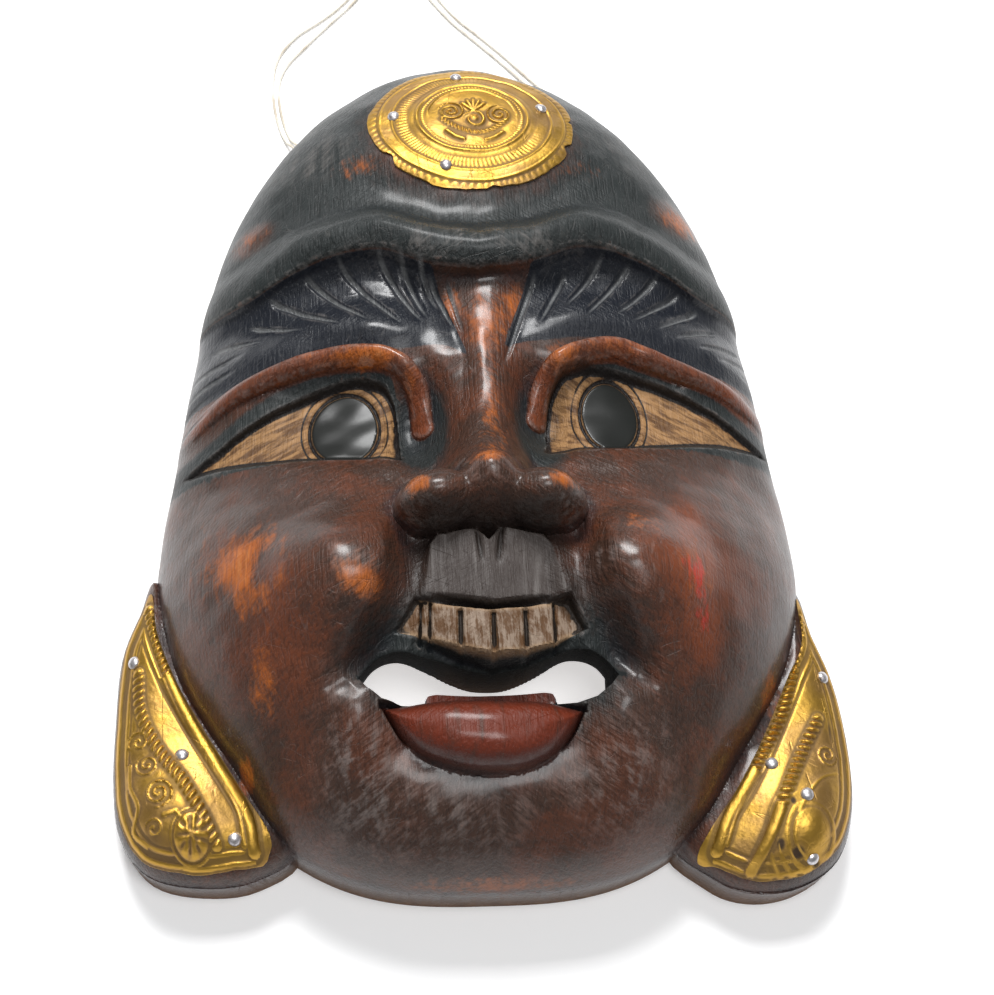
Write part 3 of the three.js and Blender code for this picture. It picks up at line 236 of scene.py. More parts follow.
@dataclass
class Carving:
    """The carved front as a fine grid of heights, with maps of its paint and wear, and of painted shade and
    highlights.
    """

    step: float = 0.42
    low: Pair = (-124.0, -163.5)
    high: Pair = (124.0, 166.0)
    crown_end: float = 163.0
    chin_end: float = -158.7
    crown_start: float = 30.0
    crown_roundness: float = 1.95
    crown_lean: float = 3.0
    chin_start: float = -118.0
    chin_roundness: float = 3.0
    arris: float = 1.6
    half_width: tuple[Pair, ...] = (
        (-160, 60), (-148, 67), (-139, 73), (-124, 81), (-106, 92), (-91, 100.5), (-73, 106.6), (-57, 109.6),
        (-35, 109.2), (-12, 106.2), (20, 102.6), (45, 99.8), (62, 99.2), (90, 98.9), (160, 97))
    rim_height: tuple[Pair, ...] = ((-160, 17), (-140, 14), (-100, 10), (0, 9), (100, 8), (160, 8))
    dome_height: tuple[Pair, ...] = (
        (-160, 52), (-150, 52), (-130, 55), (-100, 58), (-60, 60), (-20, 58), (20, 59), (60, 62), (84, 66),
        (105, 71), (130, 76), (160, 78))
    fullness: tuple[Pair, ...] = (
        (-160, 2.3), (-130, 2.5), (-100, 2.7), (-60, 2.7), (0, 2.3), (60, 2.2), (110, 2.05), (160, 2))
    brow_line_points: tuple[Pair, ...] = (
        (0, 44.5), (18, 47.4), (34, 53.6), (50, 52.8), (63, 49.6), (80, 43.8), (97, 43), (110, 42))
    brow_foot_points: tuple[Pair, ...] = (
        (0, 16), (9, 24), (26, 24.5), (47, 24.5), (61, 21.5), (84, 17.5), (103, 16), (115, 15))
    brow_lift: float = 4.5
    eyes: dict[Side, Eye] = field(default_factory=lambda: {
        Side.LEFT: Eye((-27, -21.5), (-99, -17.5), 29.5, (-45.6, -9.3), (11.1, 14.0), (
            (-19.5, -9), (-21.5, 4), (-29, 12.3), (-41, 15), (-54.4, 14.4), (-68, 11), (-85, 6), (-101, -1))),
        Side.RIGHT: Eye((21.6, -19.8), (101, -9.5), 30.5, (44.0, -5.0), (9.6, 13.8), (
            (19, -7), (21.2, 4.5), (27, 12), (37.5, 17), (47.7, 18.4), (58.5, 15.5), (72, 11.5), (88, 8),
            (102, 3.5))),
    })
    eye_arch: tuple[Pair, ...] = (
        (0, 0), (0.015, 0.5), (0.05, 0.82), (0.12, 0.97), (0.25, 1), (0.39, 0.9), (0.54, 0.73), (0.72, 0.45),
        (0.88, 0.17), (1, 0))
    ears: dict[Side, tuple[Pair, ...]] = field(default_factory=lambda: {
        Side.LEFT: (
            (-109.2, -50), (-115.2, -62), (-120.2, -78), (-121, -100), (-120.6, -120), (-117.5, -137),
            (-108, -149.5), (-92, -153.8), (-74, -152), (-60, -140), (-72, -110), (-92, -80)),
        Side.RIGHT: (
            (108, -57), (113.4, -74), (118.6, -92), (120.8, -114), (119.5, -134), (112.5, -150),
            (99, -158.6), (84, -160.2), (71, -155), (58, -140), (72, -110), (92, -80)),
    })
    folds: dict[Side, tuple[Pair, ...]] = field(default_factory=lambda: {
        Side.LEFT: ((-27, -50), (-25, -60), (-27.5, -76), (-36, -92), (-45, -101)),
        Side.RIGHT: ((31, -50), (29, -60), (31, -76), (38, -91), (45, -101)),
    })
    bridge_height: tuple[Pair, ...] = (
        (-50, 50), (-45, 64), (-39, 75), (-33, 75.5), (-26, 71), (-15, 65), (0, 61), (20, 61), (45, 58))
    nose_parts: tuple[tuple[Pair, float, Place, float, float], ...] = (
        ((-15.5, -46.6), 86.5, (14.5, 9.8, 21), 8, 3), ((17.5, -46.6), 86.5, (14.5, 9.8, 21), -8, 3),
        ((0.8, -46.4), 81.0, (22, 9.4, 23), 0, 7), ((0.8, -41.0), 87.3, (12.0, 12, 27), 0, 8))
    lip_plate: tuple[Pair, ...] = (
        (-18.5, -60), (-16, -56.5), (-3.6, -55), (-0.2, -58.8), (3.4, -54.6), (17, -57), (19.5, -60),
        (23.6, -76.3), (1.6, -79.3), (-20.4, -75.8))
    teeth_top: tuple[Pair, ...] = ((-23.4, -77.6), (-12, -79.4), (0, -80.8), (12, -79.9), (24.4, -77.9))
    teeth_foot: tuple[Pair, ...] = (
        (-29.8, -86.6), (-20.5, -89.6), (-10, -93.4), (0.2, -95.6), (9.8, -94.8), (19.6, -92.2), (29.4, -87))
    tooth_gaps: tuple[Pair, ...] = (
        (-21.6, -84), (-18.7, -84), (-9.5, -87), (0.6, -88), (10.5, -87), (19.4, -85))
    mouth_top: tuple[Pair, ...] = (
        (-41, -101), (-37, -96), (-30, -92.8), (-20, -94.5), (0, -97.2), (16, -95.5), (27, -92.8), (35, -96),
        (39, -101))
    lip_top: tuple[Pair, ...] = ((-34, -108.8), (-20, -108), (0, -108), (16, -108.6), (28, -110.5))
    lip_foot: tuple[Pair, ...] = (
        (-34, -109.5), (-29, -117.5), (-23.5, -122.6), (-12, -127.4), (0, -129), (11, -127.6), (20, -122.8),
        (25, -117), (28, -111))
    hair_depth: float = 1.3
    hair_cuts: tuple[tuple[float, float, float, float, float], ...] = (
        (-34.2, 53.3, -19.5, 27, 1.5), (-47.7, 52.1, -26.5, 26, 1.5), (-58.6, 48.7, -37.6, 27.5, 1.5),
        (-71.3, 43, -46.8, 27, 1.4), (-78, 35, -60.6, 28, 1.3), (-92.5, 31.5, -74.5, 27.2, 1.2),
        (-101.5, 22.5, -80.5, 23.8, 1.4), (-104, 15, -83.8, 18, 1.3), (-105, 8, -92, 11.4, 1.1),
        (-105.6, 0.5, -91.5, 4.4, 1.2), (-26.7, 51.2, -17.5, 28.6, 2.1), (-20.3, 49.1, -14.3, 33.1, 1.2),
        (-16.5, 44.5, -8.7, 24.3, 1.5), (-10.3, 42.7, -5.4, 21.7, 0.9),
        (43.6, 53.7, 30.5, 34, 1.4), (53.4, 52.4, 37, 29.5, 1.5), (63.7, 49.8, 48, 31.5, 1.4),
        (71.9, 45.8, 53.5, 29.5, 1.5), (79.1, 41.5, 62.4, 28, 1.3), (86.2, 36.1, 69, 26, 1.2),
        (96.4, 31.8, 78, 25, 1.2), (101.6, 29, 86, 22.7, 1.1), (104.6, 22.5, 95, 21, 1.0),
        (30.3, 47.1, 20.7, 26, 1.8), (19.5, 45.3, 7.9, 9.4, 1.3))
    # Wear through to orange; the spots on the lids near the nose are painted highlight.
    worn_and_lit_spots: tuple[Spot, ...] = (
        (-73, -66, 18, 27, 1.0), (-70, -66, 7, 10, -1.1), (-79, -62, 14, 12, 0.5), (-70, -100, 9, 17, 0.8),
        (-40, -77, 11, 7, 1.05), (-44, -70, 12, 10, 0.5), (-22, -46.0, 6.5, 5.5, 1.15),
        (22.5, -45.4, 8, 5.5, 1.05), (0, -38, 6, 4, 0.8), (3, 26, 13, 24, 0.8), (3, -10, 9, 34, 0.65),
        (-10, 34, 6, 14, 0.7), (14, 36, 6, 14, 0.7), (-35, 13, 16, 6, 0.75), (-24, 5, 6, 9, 0.5),
        (28, 12, 12, 8, 0.5), (77, 81, 15, 11, 0.95), (-80, 74, 12, 9, 0.6), (-40, 93, 17, 9, 0.55),
        (37, 92, 16, 9, 0.5), (47, -56, 12, 10, 0.55), (63, -72, 16, 20, 0.55), (93, -99, 8, 12, 1.0),
        (0.5, -157.5, 44, 4, 0.6), (-76.5, -123, 4, 9, 1.5), (-91, -54, 14, 22, 0.35),
        (27, 15, 9, 8, 0.5), (46, 18, 26, 6, 0.4), (-45, 14, 26, 6, 0.4), (0, -34, 12, 12, 0.5))
    red_spots: tuple[Spot, ...] = (
        (63, -72, 14, 16, 0.9), (66, -88, 10, 14, 0.9), (64, -52, 12, 12, 0.6), (-11.3, 29.4, 2.6, 1.7, 1.6),
        (27.5, 45.6, 2.0, 1.6, 1.4), (-66, -84, 22, 40, 0.4), (60, -70, 34, 46, 0.35), (0, 108, 62, 48, 0.5),
        (0, -118, 60, 30, 0.2), (5, 20, 16, 30, 0.4), (-60, 8, 44, 12, 0.45), (60, 12, 44, 12, 0.45))
    # Grey patches: partly dull wax haze, partly painted highlight and sheen on the forehead roll, cheek
    # apexes, nose tip, crown sides, jaw and the block's sides.
    haze_and_sheen_spots: tuple[Spot, ...] = (
        (-58, 103, 24, 18, 0.8), (60, 110, 22, 20, 0.6), (0, 53, 60, 9, 0.9), (-43, -70, 9, 7, 0.9),
        (34, -68, 8, 7, 0.9), (-17, -138, 46, 26, 0.8), (40, -130, 28, 30, 0.85), (-42, -122, 18, 34, 0.9),
        (-103, -11, 9, 60, 0.5), (107, -13, 9, 60, 0.5), (0, -43, 12, 6, 0.7))

    def __post_init__(self) -> None:
        """Sample the heights and maps on the grid."""
        self.xs = np.arange(self.low[0], self.high[0] + self.step / 2, self.step)
        self.ys = np.arange(self.low[1], self.high[1] + self.step / 2, self.step)
        self.x, self.y = np.meshgrid(self.xs, self.ys, indexing="ij")
        self.ear_outline = {side: smooth_points(self.ears[side], 5, True) for side in Side}
        self.plain = self._relief()
        cuts = self._cuts()
        self.height = self.plain - cuts
        self.maps = self._maps()
        self.detail = self._detail(cuts)

    def _both(self, left: Array, right: Array) -> Array:
        """The left half of one array and the right half of another."""
        return np.where(self.x < 0, left, right)

    def reach(self, x: Array, y: Array) -> Array:
        """0 on the middle line, 1 on the outline of the face block."""
        half = curve(self.half_width, y)
        up = np.clip((y - self.crown_start) / (self.crown_end - self.crown_start), 0, None)
        down = np.clip((self.chin_start - y) / (self.chin_start - self.chin_end), 0, None)
        u = np.abs(x + self.crown_lean * up * up) / half
        crown, chin = self.crown_roundness, self.chin_roundness
        upper = (u ** crown + up ** crown) ** (1 / crown)
        lower = (u ** chin + down ** chin) ** (1 / chin)
        return np.where(y > self.crown_start, upper, np.where(y < self.chin_start, lower, u))

    def block_radius(self, angle: Array) -> Array:
        """Radius of the face block's outline from the origin in each direction."""
        low, high = np.full(angle.shape, 40.0), np.full(angle.shape, 200.0)
        for _ in range(30):
            middle = (low + high) / 2
            inside = self.reach(middle * np.cos(angle), middle * np.sin(angle)) < 1
            low, high = np.where(inside, middle, low), np.where(inside, high, middle)
        return low

    def block_outline(self, count: int, inset: float = 0.0) -> Array:
        """Points round the face block, some way inside its outline."""
        angle = np.arange(count) / count * 2 * math.pi
        radius = self.block_radius(angle) - inset
        return np.stack([radius * np.cos(angle), radius * np.sin(angle)], axis=1)

    def brow_line(self) -> Array:
        """The brows' upper edge as y at each grid point."""
        a = np.abs(self.x)
        lift = self._both(0.0, self.brow_lift * 0.35)
        return curve(self.brow_line_points, a) + lift * smooth_step(25, 50, a)

    def brow_foot(self) -> Array:
        """The brows' lower edge as y at each grid point."""
        a = np.abs(self.x)
        return curve(self.brow_foot_points, a) + self._both(0.0, self.brow_lift) * smooth_step(5, 35, a)

    def eye_edges(self, eye: Eye) -> tuple[Array, Array, Array]:
        """How far along the eye each grid point is, and the y of its lower and upper edge there."""
        along = (self.x - eye.inner[0]) / (eye.outer[0] - eye.inner[0])
        sag = 1.2 * np.sin(np.pi * np.clip(along, 0, 1))
        foot = eye.inner[1] + (eye.outer[1] - eye.inner[1]) * along - sag
        return along, foot, foot + eye.rise * curve(self.eye_arch, along)

    def eye_depth(self, side: Side) -> Array:
        """Depth inside one almond eye."""
        eye = self.eyes[side]
        _, foot, top = self.eye_edges(eye)
        inner = (self.x - eye.inner[0]) * side.value
        outer = (eye.outer[0] - self.x) * side.value * 0.3
        return np.minimum(np.minimum(top - self.y, self.y - foot), np.minimum(inner, outer))

    def _dome(self) -> Array:
        """The plain rounded block."""
        u = self.reach(self.x, self.y)
        rim = curve(self.rim_height, self.y)
        round_part = np.clip(1 - np.clip(u, 0, 1) ** curve(self.fullness, self.y), 0, 1)
        edge = np.clip((1 - u) * 100 / self.arris, 0, 1)
        softened = self.arris * 0.6 * (1 - np.sqrt(1 - (1 - edge) ** 2))
        return rim + (curve(self.dome_height, self.y) - rim) * np.sqrt(round_part) - softened

    def _ear(self, side: Side) -> tuple[Array, Array]:
        """Height of one ear lobe and the depth inside its outline."""
        near = (self.x * side.value > 45) & (self.y < -40)
        depth = np.full(self.x.shape, FAR_OUT)
        depth[near] = depth_inside(self.x[near], self.y[near], self.ear_outline[side])
        slope = 1 - np.clip(depth, 0, 17) / 17
        lobe = 12 + 15 * np.sqrt(np.clip(1 - slope ** 2, 0, 1))
        boss_y = -131 if side is Side.LEFT else -135
        boss = 5 * swelling(self.x, self.y, side.value * 97, boss_y, 24, 24) * np.clip(depth / 8, 0, 1)
        lobe = np.where(depth > 0, lobe + boss, 12)
        return np.where(depth > -6, lobe, FAR_DOWN), depth

    def _relief(self) -> Array:
        """The carved forms without their cuts."""
        x, y, a = self.x, self.y, np.abs(self.x)
        z = self._dome()
        z = z + 17 * swelling(a, y, 56, -74, 68, 60) + 9.5 * swelling(a, y, 45, -70, 31, 28)
        z = z + self._forehead()
        lift = self._both(0.0, self.brow_lift * 0.8)
        z = z - 8.5 * swelling(a, y - lift, 43, -4, 42, 29) - 9 * swelling(a, y - lift, 21, -10, 14, 24, 8)
        z = smooth_max(z, self._bridge(), 5)
        z = z + self._lids() - self._eyes()
        z = smooth_max(z, self._nose(), 2.5)
        z = z - 2.0 * swelling(x, y, -18.5, -53.4, 5.5, 2.6) - 2.0 * swelling(x, y, 20, -53.4, 5.5, 2.6)
        for side, line in self.folds.items():
            distance, along, _ = line_distance(x, y, smooth_points(line, 5))
            ends = smooth_step(-3, 9, along) * smooth_step(64, 47, along)
            z = z - 6.5 * bell(distance / 9) * ends
        z = z - 9 * swelling(x, y, 0, -97, 56, 24)
        z = self._lip_plate(z)
        z = self._teeth(z)
        z = self._lower_lip(z)
        z = z + 4 * swelling(a, y, 42, -120, 15, 26, 18)
        self.ear_depth = {}
        for side in Side:
            lobe, self.ear_depth[side] = self._ear(side)
            z = np.where(x * side.value > 40, np.maximum(z, lobe), z)
        return z + self._hand_carved()

    def _hand_carved(self) -> Array:
        """Slight unevenness left by the tools, the same in each run."""
        waves = np.random.default_rng(11)
        z = np.zeros(self.x.shape)
        for length, height in ((46, 0.14), (31, 0.12), (21, 0.09), (14, 0.07), (9, 0.05)):
            for _ in range(3):
                angle, phase = waves.uniform(0, 2 * math.pi, 2)
                across = self.x * math.cos(angle) + self.y * math.sin(angle)
                z += height * np.sin(2 * math.pi * across / length + phase)
        return z * smooth_step(1.0, 0.97, self.reach(self.x, self.y))

    def _forehead(self) -> Array:
        """Rolled forehead with a furrow above it, the step down to the brows, and the brows' ridge."""
        a = np.abs(self.x)
        above = self.y - self.brow_line()
        roll = (9 - 5.5 * smooth_step(30, 95, a)) * bell((above - 7) / 15)
        furrow = 2.8 * bell((above - 28) / 17) * smooth_step(80, 15, a)
        fade = smooth_step(-34, -12, above) * smooth_step(112, 90, a)
        step = (5.5 - 2.3 * smooth_step(10, 80, a)) * smooth_step(0.8, -1.6, above) * fade
        over = self.y - self.brow_foot()
        ends = smooth_step(4, 16, a) * smooth_step(112, 80, a)
        return roll - furrow - step + 2.6 * bell((over - 3) / 14) * ends

    def _bridge(self) -> Array:
        """Bridge of the nose, widening into the brows."""
        height = curve(self.bridge_height, self.y)
        middle = 0.6 + 2.2 * smooth_step(-20, 10, self.y)
        spread = 9.5 + 3 * smooth_step(-10, -40, self.y) + 8 * smooth_step(8, 40, self.y)
        off = np.clip(np.abs(self.x - middle) - 1, 0, None) * 9.5 / spread
        return np.where((self.y > -50) & (self.y < 50), height - 0.11 * off ** 2, FAR_DOWN)

    def _lids(self) -> Array:
        """Thick carved upper lids."""
        z = np.zeros(self.x.shape)
        self.lid_depth = np.full(self.x.shape, FAR_OUT)
        for eye in self.eyes.values():
            distance, along, _ = line_distance(self.x, self.y, smooth_points(eye.lid, 6))
            share = along / along.max()
            height = 4.6 * smooth_step(-0.06, 0.06, share) * smooth_step(1.06, 0.75, share)
            z += height * np.sqrt(np.clip(1 - (distance / 3.6) ** 2, 0, 1)) + 1.2 * bell(distance / 8)
            self.lid_depth = np.maximum(self.lid_depth, 3.6 - distance - 2 * smooth_step(0.8, 1, share))
        return z

    def _eyes(self) -> Array:
        """How far the eyeballs and the grooves round them lie below the skin."""
        sink = np.zeros(self.x.shape)
        self.iris_depth = np.full(self.x.shape, FAR_OUT)
        for side, eye in self.eyes.items():
            depth = self.eye_depth(side)
            along, foot, top = self.eye_edges(eye)
            here = self.x * side.value > 0
            inside = smooth_step(-0.8, 0.9, depth) * here
            recess = 2.4 + 0.5 * bell((top - self.y) / 5) * smooth_step(0.95, 0.6, along)
            sink += inside * (recess - 2.6 * swelling(self.x, self.y, *eye.iris, 30, 17))
            ends = smooth_step(-0.03, 0.02, along) * smooth_step(1.03, 0.97, along) * here
            sink += 1.2 * bell((self.y - foot + 0.6) / 1.6) * ends
            wide, tall = eye.iris_size
            share = np.hypot((self.x - eye.iris[0]) / wide, (self.y - eye.iris[1]) / tall)
            rim = (share - 1) * wide
            for off, deep, width in ((0.7, 1.0, 1.1), (3.4, 0.3, 0.7)):
                sink += deep * bell((rim - off) / width) * smooth_step(-1, 0.5, depth) * here
            dome = np.sqrt(np.clip(1 - share ** 2, 0, 1))
            sink -= 0.5 * dome * smooth_step(-1, 0.5, depth) * here
            self.iris_depth = np.maximum(self.iris_depth, np.minimum(-rim, depth + 0.6))
        return sink

    def _nose(self) -> Array:
        """Tip and wings of the nose."""
        nose = np.full(self.x.shape, FAR_DOWN)
        for centre, top, radii, degrees, blend in self.nose_parts:
            nose = smooth_max(nose, cap(self.x, self.y, centre, top, radii, degrees), blend)
        return nose

    def _lip_plate(self, z: Array) -> Array:
        """Upper lip as a flat plate with a notch in its top edge."""
        self.plate_depth = depth_inside(self.x, self.y, np.asarray(self.lip_plate, float))
        top = 70.5 - 0.004 * self.x ** 2 + 0.06 * (self.y + 56)
        for top_x, foot_x in ((-3.8, -2.4), (4.0, 2.2)):
            distance, along, _ = line_distance(self.x, self.y, ((top_x, -55), (foot_x, -68)))
            top = top - 1.5 * bell(distance / 1.7) * smooth_step(14, 4, along)
        blend = smooth_step(0.6, -1.5, self.plate_depth)
        raised = smooth_max(z, z * blend + top * (1 - blend), 1.5)
        return np.where(self.plate_depth > -1.5, raised, z)

    def _teeth(self, z: Array) -> Array:
        """One row of broad teeth parted by narrow grooves."""
        outline = np.asarray(self.teeth_top + self.teeth_foot[::-1], float)
        self.teeth_depth = depth_inside(self.x, self.y, outline)
        top = 67.5 - 0.0065 * self.x ** 2 + 0.1 * (self.y + 80)
        share = smooth_step(-0.8, 0.9, self.teeth_depth)
        z = z * (1 - share) + np.maximum(z - 40, top) * share
        for gap_x, gap_y in self.tooth_gaps:
            foot = float(curve(self.teeth_foot, np.array([gap_x]))[0]) - 1
            distance, along, _ = line_distance(self.x, self.y, ((gap_x, gap_y + 5), (gap_x * 1.02, foot)))
            wide = 0.75 if abs(gap_x) > 15 else 1.25
            z = z - 1.9 * bell(distance / (wide + 0.3 * along / (gap_y + 5 - foot)))
        return z

    def _lower_lip(self, z: Array) -> Array:
        """Full lower lip, and the flat ledge between it and the open mouth."""
        x, y = self.x, self.y
        z = z - 3 * swelling(x, y, -3, -118, 44, 24)
        self.lip_depth = depth_between(x, y, self.lip_top, self.lip_foot)
        slope = 1 - np.clip(self.lip_depth, 0, 9.5) / 9.5
        lip = 57.5 + 9.5 * np.sqrt(np.clip(1 - slope ** 2, 0, 1)) - 0.007 * (x + 3) ** 2
        blend = smooth_step(0.3, -1.2, self.lip_depth)
        z = np.where(self.lip_depth > -1.2, z * blend + lip * (1 - blend), z)
        self.ledge_depth = np.minimum(19.8 - np.abs(x + 0.4), np.minimum(y + 108.2, -103.0 - y))
        behind = (y > -108.0) & (y < -96) & (np.abs(x) < 21)
        return np.where(behind, np.minimum(z, 54.0), z)

    def _cuts(self) -> Array:
        """Depth of the V-shaped cuts that draw the brows' hair."""
        cut = np.zeros(self.x.shape)
        self.hair = np.zeros(self.x.shape)
        near = (self.y > -8) & (self.y < 62)
        x, y = self.x[near], self.y[near]
        total = np.zeros(x.shape)
        pale = np.zeros(x.shape)
        for outer_x, outer_y, inner_x, inner_y, half in self.hair_cuts:
            distance, along, left = line_distance(x, y, ((outer_x, outer_y), (inner_x, inner_y)))
            length = math.hypot(outer_x - inner_x, outer_y - inner_y)
            taper = smooth_step(-1, 3, along) * smooth_step(length + 1.5, length - 7, along)
            total = np.maximum(total, self.hair_depth * taper * np.clip(1 - distance / half, 0, 1))
            fading = 1 - 0.5 * np.clip(along / length, 0, 1)
            pale = np.maximum(pale, fading * taper * bell(left / (1.15 * fading) - 0.3))
        cut[near] = total
        self.hair[near] = pale
        return cut

    def _maps(self) -> dict[str, Array]:
        """Maps of paint, wear, painted shade and highlights, and part edges, by name."""
        x, y, a = self.x, self.y, np.abs(self.x)
        line, foot = self.brow_line(), self.brow_foot()
        fine, broad = blurred(self.height, 1.6), blurred(self.height, 8)
        inner_limit = 8 + 0.33 * (y - 24)
        black = (smooth_step(-0.6, 0.8, line - y) * smooth_step(-9.5, -6.0, y - foot)
                 * smooth_step(0, 2.5, np.abs(x - 1.5) - inner_limit)
                 * smooth_step(0.8, -1.0, self.lid_depth))
        disc = swelling(x, y, 0, 108, 66, 56)
        temples = swelling(x, y, 76, 82, 20, 17) + swelling(x, y, -79, 73, 16, 13)
        # Dark green-black: partly the real paint of the forehead and round the mouth, partly painted shade in
        # the eye sockets beside the nose, under the lids and under the brows.
        green_and_shade = smooth_step(-0.6, 0.8, y - line) * np.clip(1 - 0.9 * disc - 0.9 * temples, 0, 1)
        green_and_shade = np.maximum(green_and_shade, np.clip(1.2 * swelling(x, y, 0, -96, 72, 38), 0, 1))
        green_and_shade = np.maximum(green_and_shade, np.clip(1.3 * swelling(a, y, 20, -12, 15, 30), 0, 0.9))
        eye = self._either_eye()
        lids = smooth_step(-1.2, 0.6, self.lid_depth)
        upper = y > self._both(-19.5, -15.0) - 3
        green_and_shade = np.maximum(green_and_shade, smooth_step(-9, -4, eye) * upper * (1 - lids))
        green_and_shade = np.maximum(green_and_shade, smooth_step(0.5, -1.5, y - foot) * smooth_step(-10, -5, y - foot)
                           * smooth_step(14, 22, a) * (1 - lids) * 0.9)
        green_and_shade = green_and_shade * (1 - 0.85 * lids)
        worn = swellings(x, y, self.worn_and_lit_spots)
        worn = worn + 0.12 * np.clip(self.lid_depth / 2, 0, 1)
        red = swellings(x, y, self.red_spots)
        red = np.maximum(red, 0.65 * lids)
        haze_and_sheen = swellings(x, y, self.haze_and_sheen_spots)
        haze_and_sheen = haze_and_sheen * smooth_step(-2, -8, self.lip_depth)
        return {
            "black": black, "green_and_shade": green_and_shade, "worn": worn, "red": red, "haze_and_sheen": haze_and_sheen,
            "crest": np.clip((self.height - fine) * 4, -1, 1),
            "form": np.clip((self.height - broad) / 3, -1, 1),
            "eye": np.clip(eye, -5, 5), "iris": np.clip(self.iris_depth, -5, 12),
            "teeth": np.clip(self.teeth_depth, -5, 5), "plate": np.clip(self.plate_depth, -10, 5),
            "lip": np.clip(self.lip_depth, -5, 5), "lid": np.clip(self.lid_depth, -5, 5),
            "ledge": np.clip(self.ledge_depth, -5, 5), "hair": self.hair,
        }

    def _either_eye(self) -> Array:
        """Depth inside the nearer almond eye."""
        left = self.eye_depth(Side.LEFT) + FAR_OUT * (self.x > 0)
        return np.maximum(left, self.eye_depth(Side.RIGHT) + FAR_OUT * (self.x < 0))

    def _detail(self, cuts: Array) -> Array:
        """Where the mesh keeps every corner: edges of painted parts and cuts of the hair."""
        parts = (self._either_eye(), self.teeth_depth, self.lip_depth, self.ledge_depth, self.iris_depth)
        edges = sum((np.abs(depth) < 1.2).astype(float) for depth in parts)
        return (edges + (np.abs(self.plate_depth) < 0.8) + (self.hair > 0.05) + (cuts > 0.05)) > 0

    def sample(self, values: Array, x: Array, y: Array) -> Array:
        """Values of a grid map at any points."""
        u = np.clip((x - self.low[0]) / self.step, 0, len(self.xs) - 1.001)
        v = np.clip((y - self.low[1]) / self.step, 0, len(self.ys) - 1.001)
        i, j = u.astype(int), v.astype(int)
        p, q = u - i, v - j
        return ((values[i, j] * (1 - p) + values[i + 1, j] * p) * (1 - q)
                + (values[i, j + 1] * (1 - p) + values[i + 1, j + 1] * p) * q)

    def wood(self, x: Array, y: Array) -> Array:
        """Height of the wood, without its cuts, at any points."""
        return self.sample(self.plain, np.asarray(x, float), np.asarray(y, float))

    def normal(self, x: float, y: float) -> Vector:
        """Direction straight out of the wood, over a few millimetres."""
        step = 2.0
        z = self.wood([x - step, x + step, x, x], [y, y, y - step, y + step])
        return Vector((z[0] - z[1], z[2] - z[3], 2 * step)).normalized()


# Meshes

def mesh_object(name: str, points: Array, faces: Array) -> bpy.types.Object:
    """New object of a mesh given in millimetres.

    Args:
        name: the piece's name.
        points: corners, one row each.
        faces: corner numbers, one row for each triangle or quad.

    Returns:
        The object, linked to the scene.
    """
    mesh = bpy.data.meshes.new(name)
    mesh.vertices.add(len(points))
    mesh.vertices.foreach_set("co", np.ascontiguousarray(points * MM, dtype=np.float32).ravel())
    mesh.loops.add(faces.size)
    mesh.loops.foreach_set("vertex_index", np.ascontiguousarray(faces, dtype=np.int32).ravel())
    mesh.polygons.add(len(faces))
    mesh.polygons.foreach_set("loop_start", np.arange(0, faces.size, faces.shape[1], dtype=np.int32))
    mesh.update(calc_edges=True)
    made = bpy.data.objects.new(name, mesh)
    bpy.context.scene.collection.objects.link(made)
    return made


def grid_faces(rows: int, columns: int, around: bool = False) -> Array:
    """Quads of a grid of rows and columns, whose columns may close into a ring."""
    i = np.arange(rows - 1)[:, None]
    j = np.arange(columns if around else columns - 1)[None, :]
    after = (j + 1) % columns
    quads = np.stack(np.broadcast_arrays(i * columns + j, i * columns + after, (i + 1) * columns + after,
                                         (i + 1) * columns + j), axis=-1)
    return quads.reshape(-1, 4)


def halves(quads: Array) -> Array:
    """Two triangles for each quad, turned over."""
    return np.concatenate([quads[:, [0, 3, 2]], quads[:, [0, 2, 1]]])


def fan(middle: int, ring: Array) -> Array:
    """Triangles from one corner to each side of a ring."""
    return np.stack([np.full(len(ring), middle), ring, np.roll(ring, -1)], axis=1)


def rim_loop(rows: int, columns: int) -> Array:
    """Point numbers round the rim of a grid."""
    index = np.arange(rows * columns).reshape(rows, columns)
    return np.concatenate([index[:-1, 0], index[-1, :-1], index[:0:-1, -1], index[0, :0:-1]])


def slab(name: str, xs: Array, ys: Array, top: Array, bottom: Array) -> bpy.types.Object:
    """Closed sheet over a rectangle between two height grids."""
    x, y = np.meshgrid(xs, ys, indexing="ij")
    layer = x.size
    points = np.concatenate([np.stack([x, y, z], axis=-1).reshape(-1, 3) for z in (top, bottom)])
    faces = grid_faces(len(xs), len(ys))
    loop = rim_loop(len(xs), len(ys))
    after = np.roll(loop, -1)
    walls = np.stack([loop, loop + layer, after + layer, after], axis=1)
    return mesh_object(name, points, np.concatenate([faces[:, ::-1], faces + layer, walls]))


def block(name: str, xs: Array, ys: Array, top: Array, foot: float) -> bpy.types.Object:
    """Closed solid over a rectangle, from a height grid down to a flat foot."""
    x, y = np.meshgrid(xs, ys, indexing="ij")
    upper = np.stack([x, y, top], axis=-1).reshape(-1, 3)
    loop = rim_loop(len(xs), len(ys))
    lower = upper[loop].copy()
    lower[:, 2] = foot
    centre = np.array([[xs.mean(), ys.mean(), foot]])
    faces = grid_faces(len(xs), len(ys))[:, ::-1]
    tops = np.concatenate([faces[:, [0, 1, 2]], faces[:, [0, 2, 3]]])
    count = len(loop)
    low = len(upper) + np.arange(count)
    low_after = np.roll(low, -1)
    after = np.roll(loop, -1)
    middle = np.full(count, len(upper) + count)
    walls = [np.stack([loop, low_after, after], axis=1), np.stack([loop, low, low_after], axis=1),
             np.stack([middle, low_after, low], axis=1)]
    return mesh_object(name, np.concatenate([upper, lower, centre]), np.concatenate([tops, *walls]))


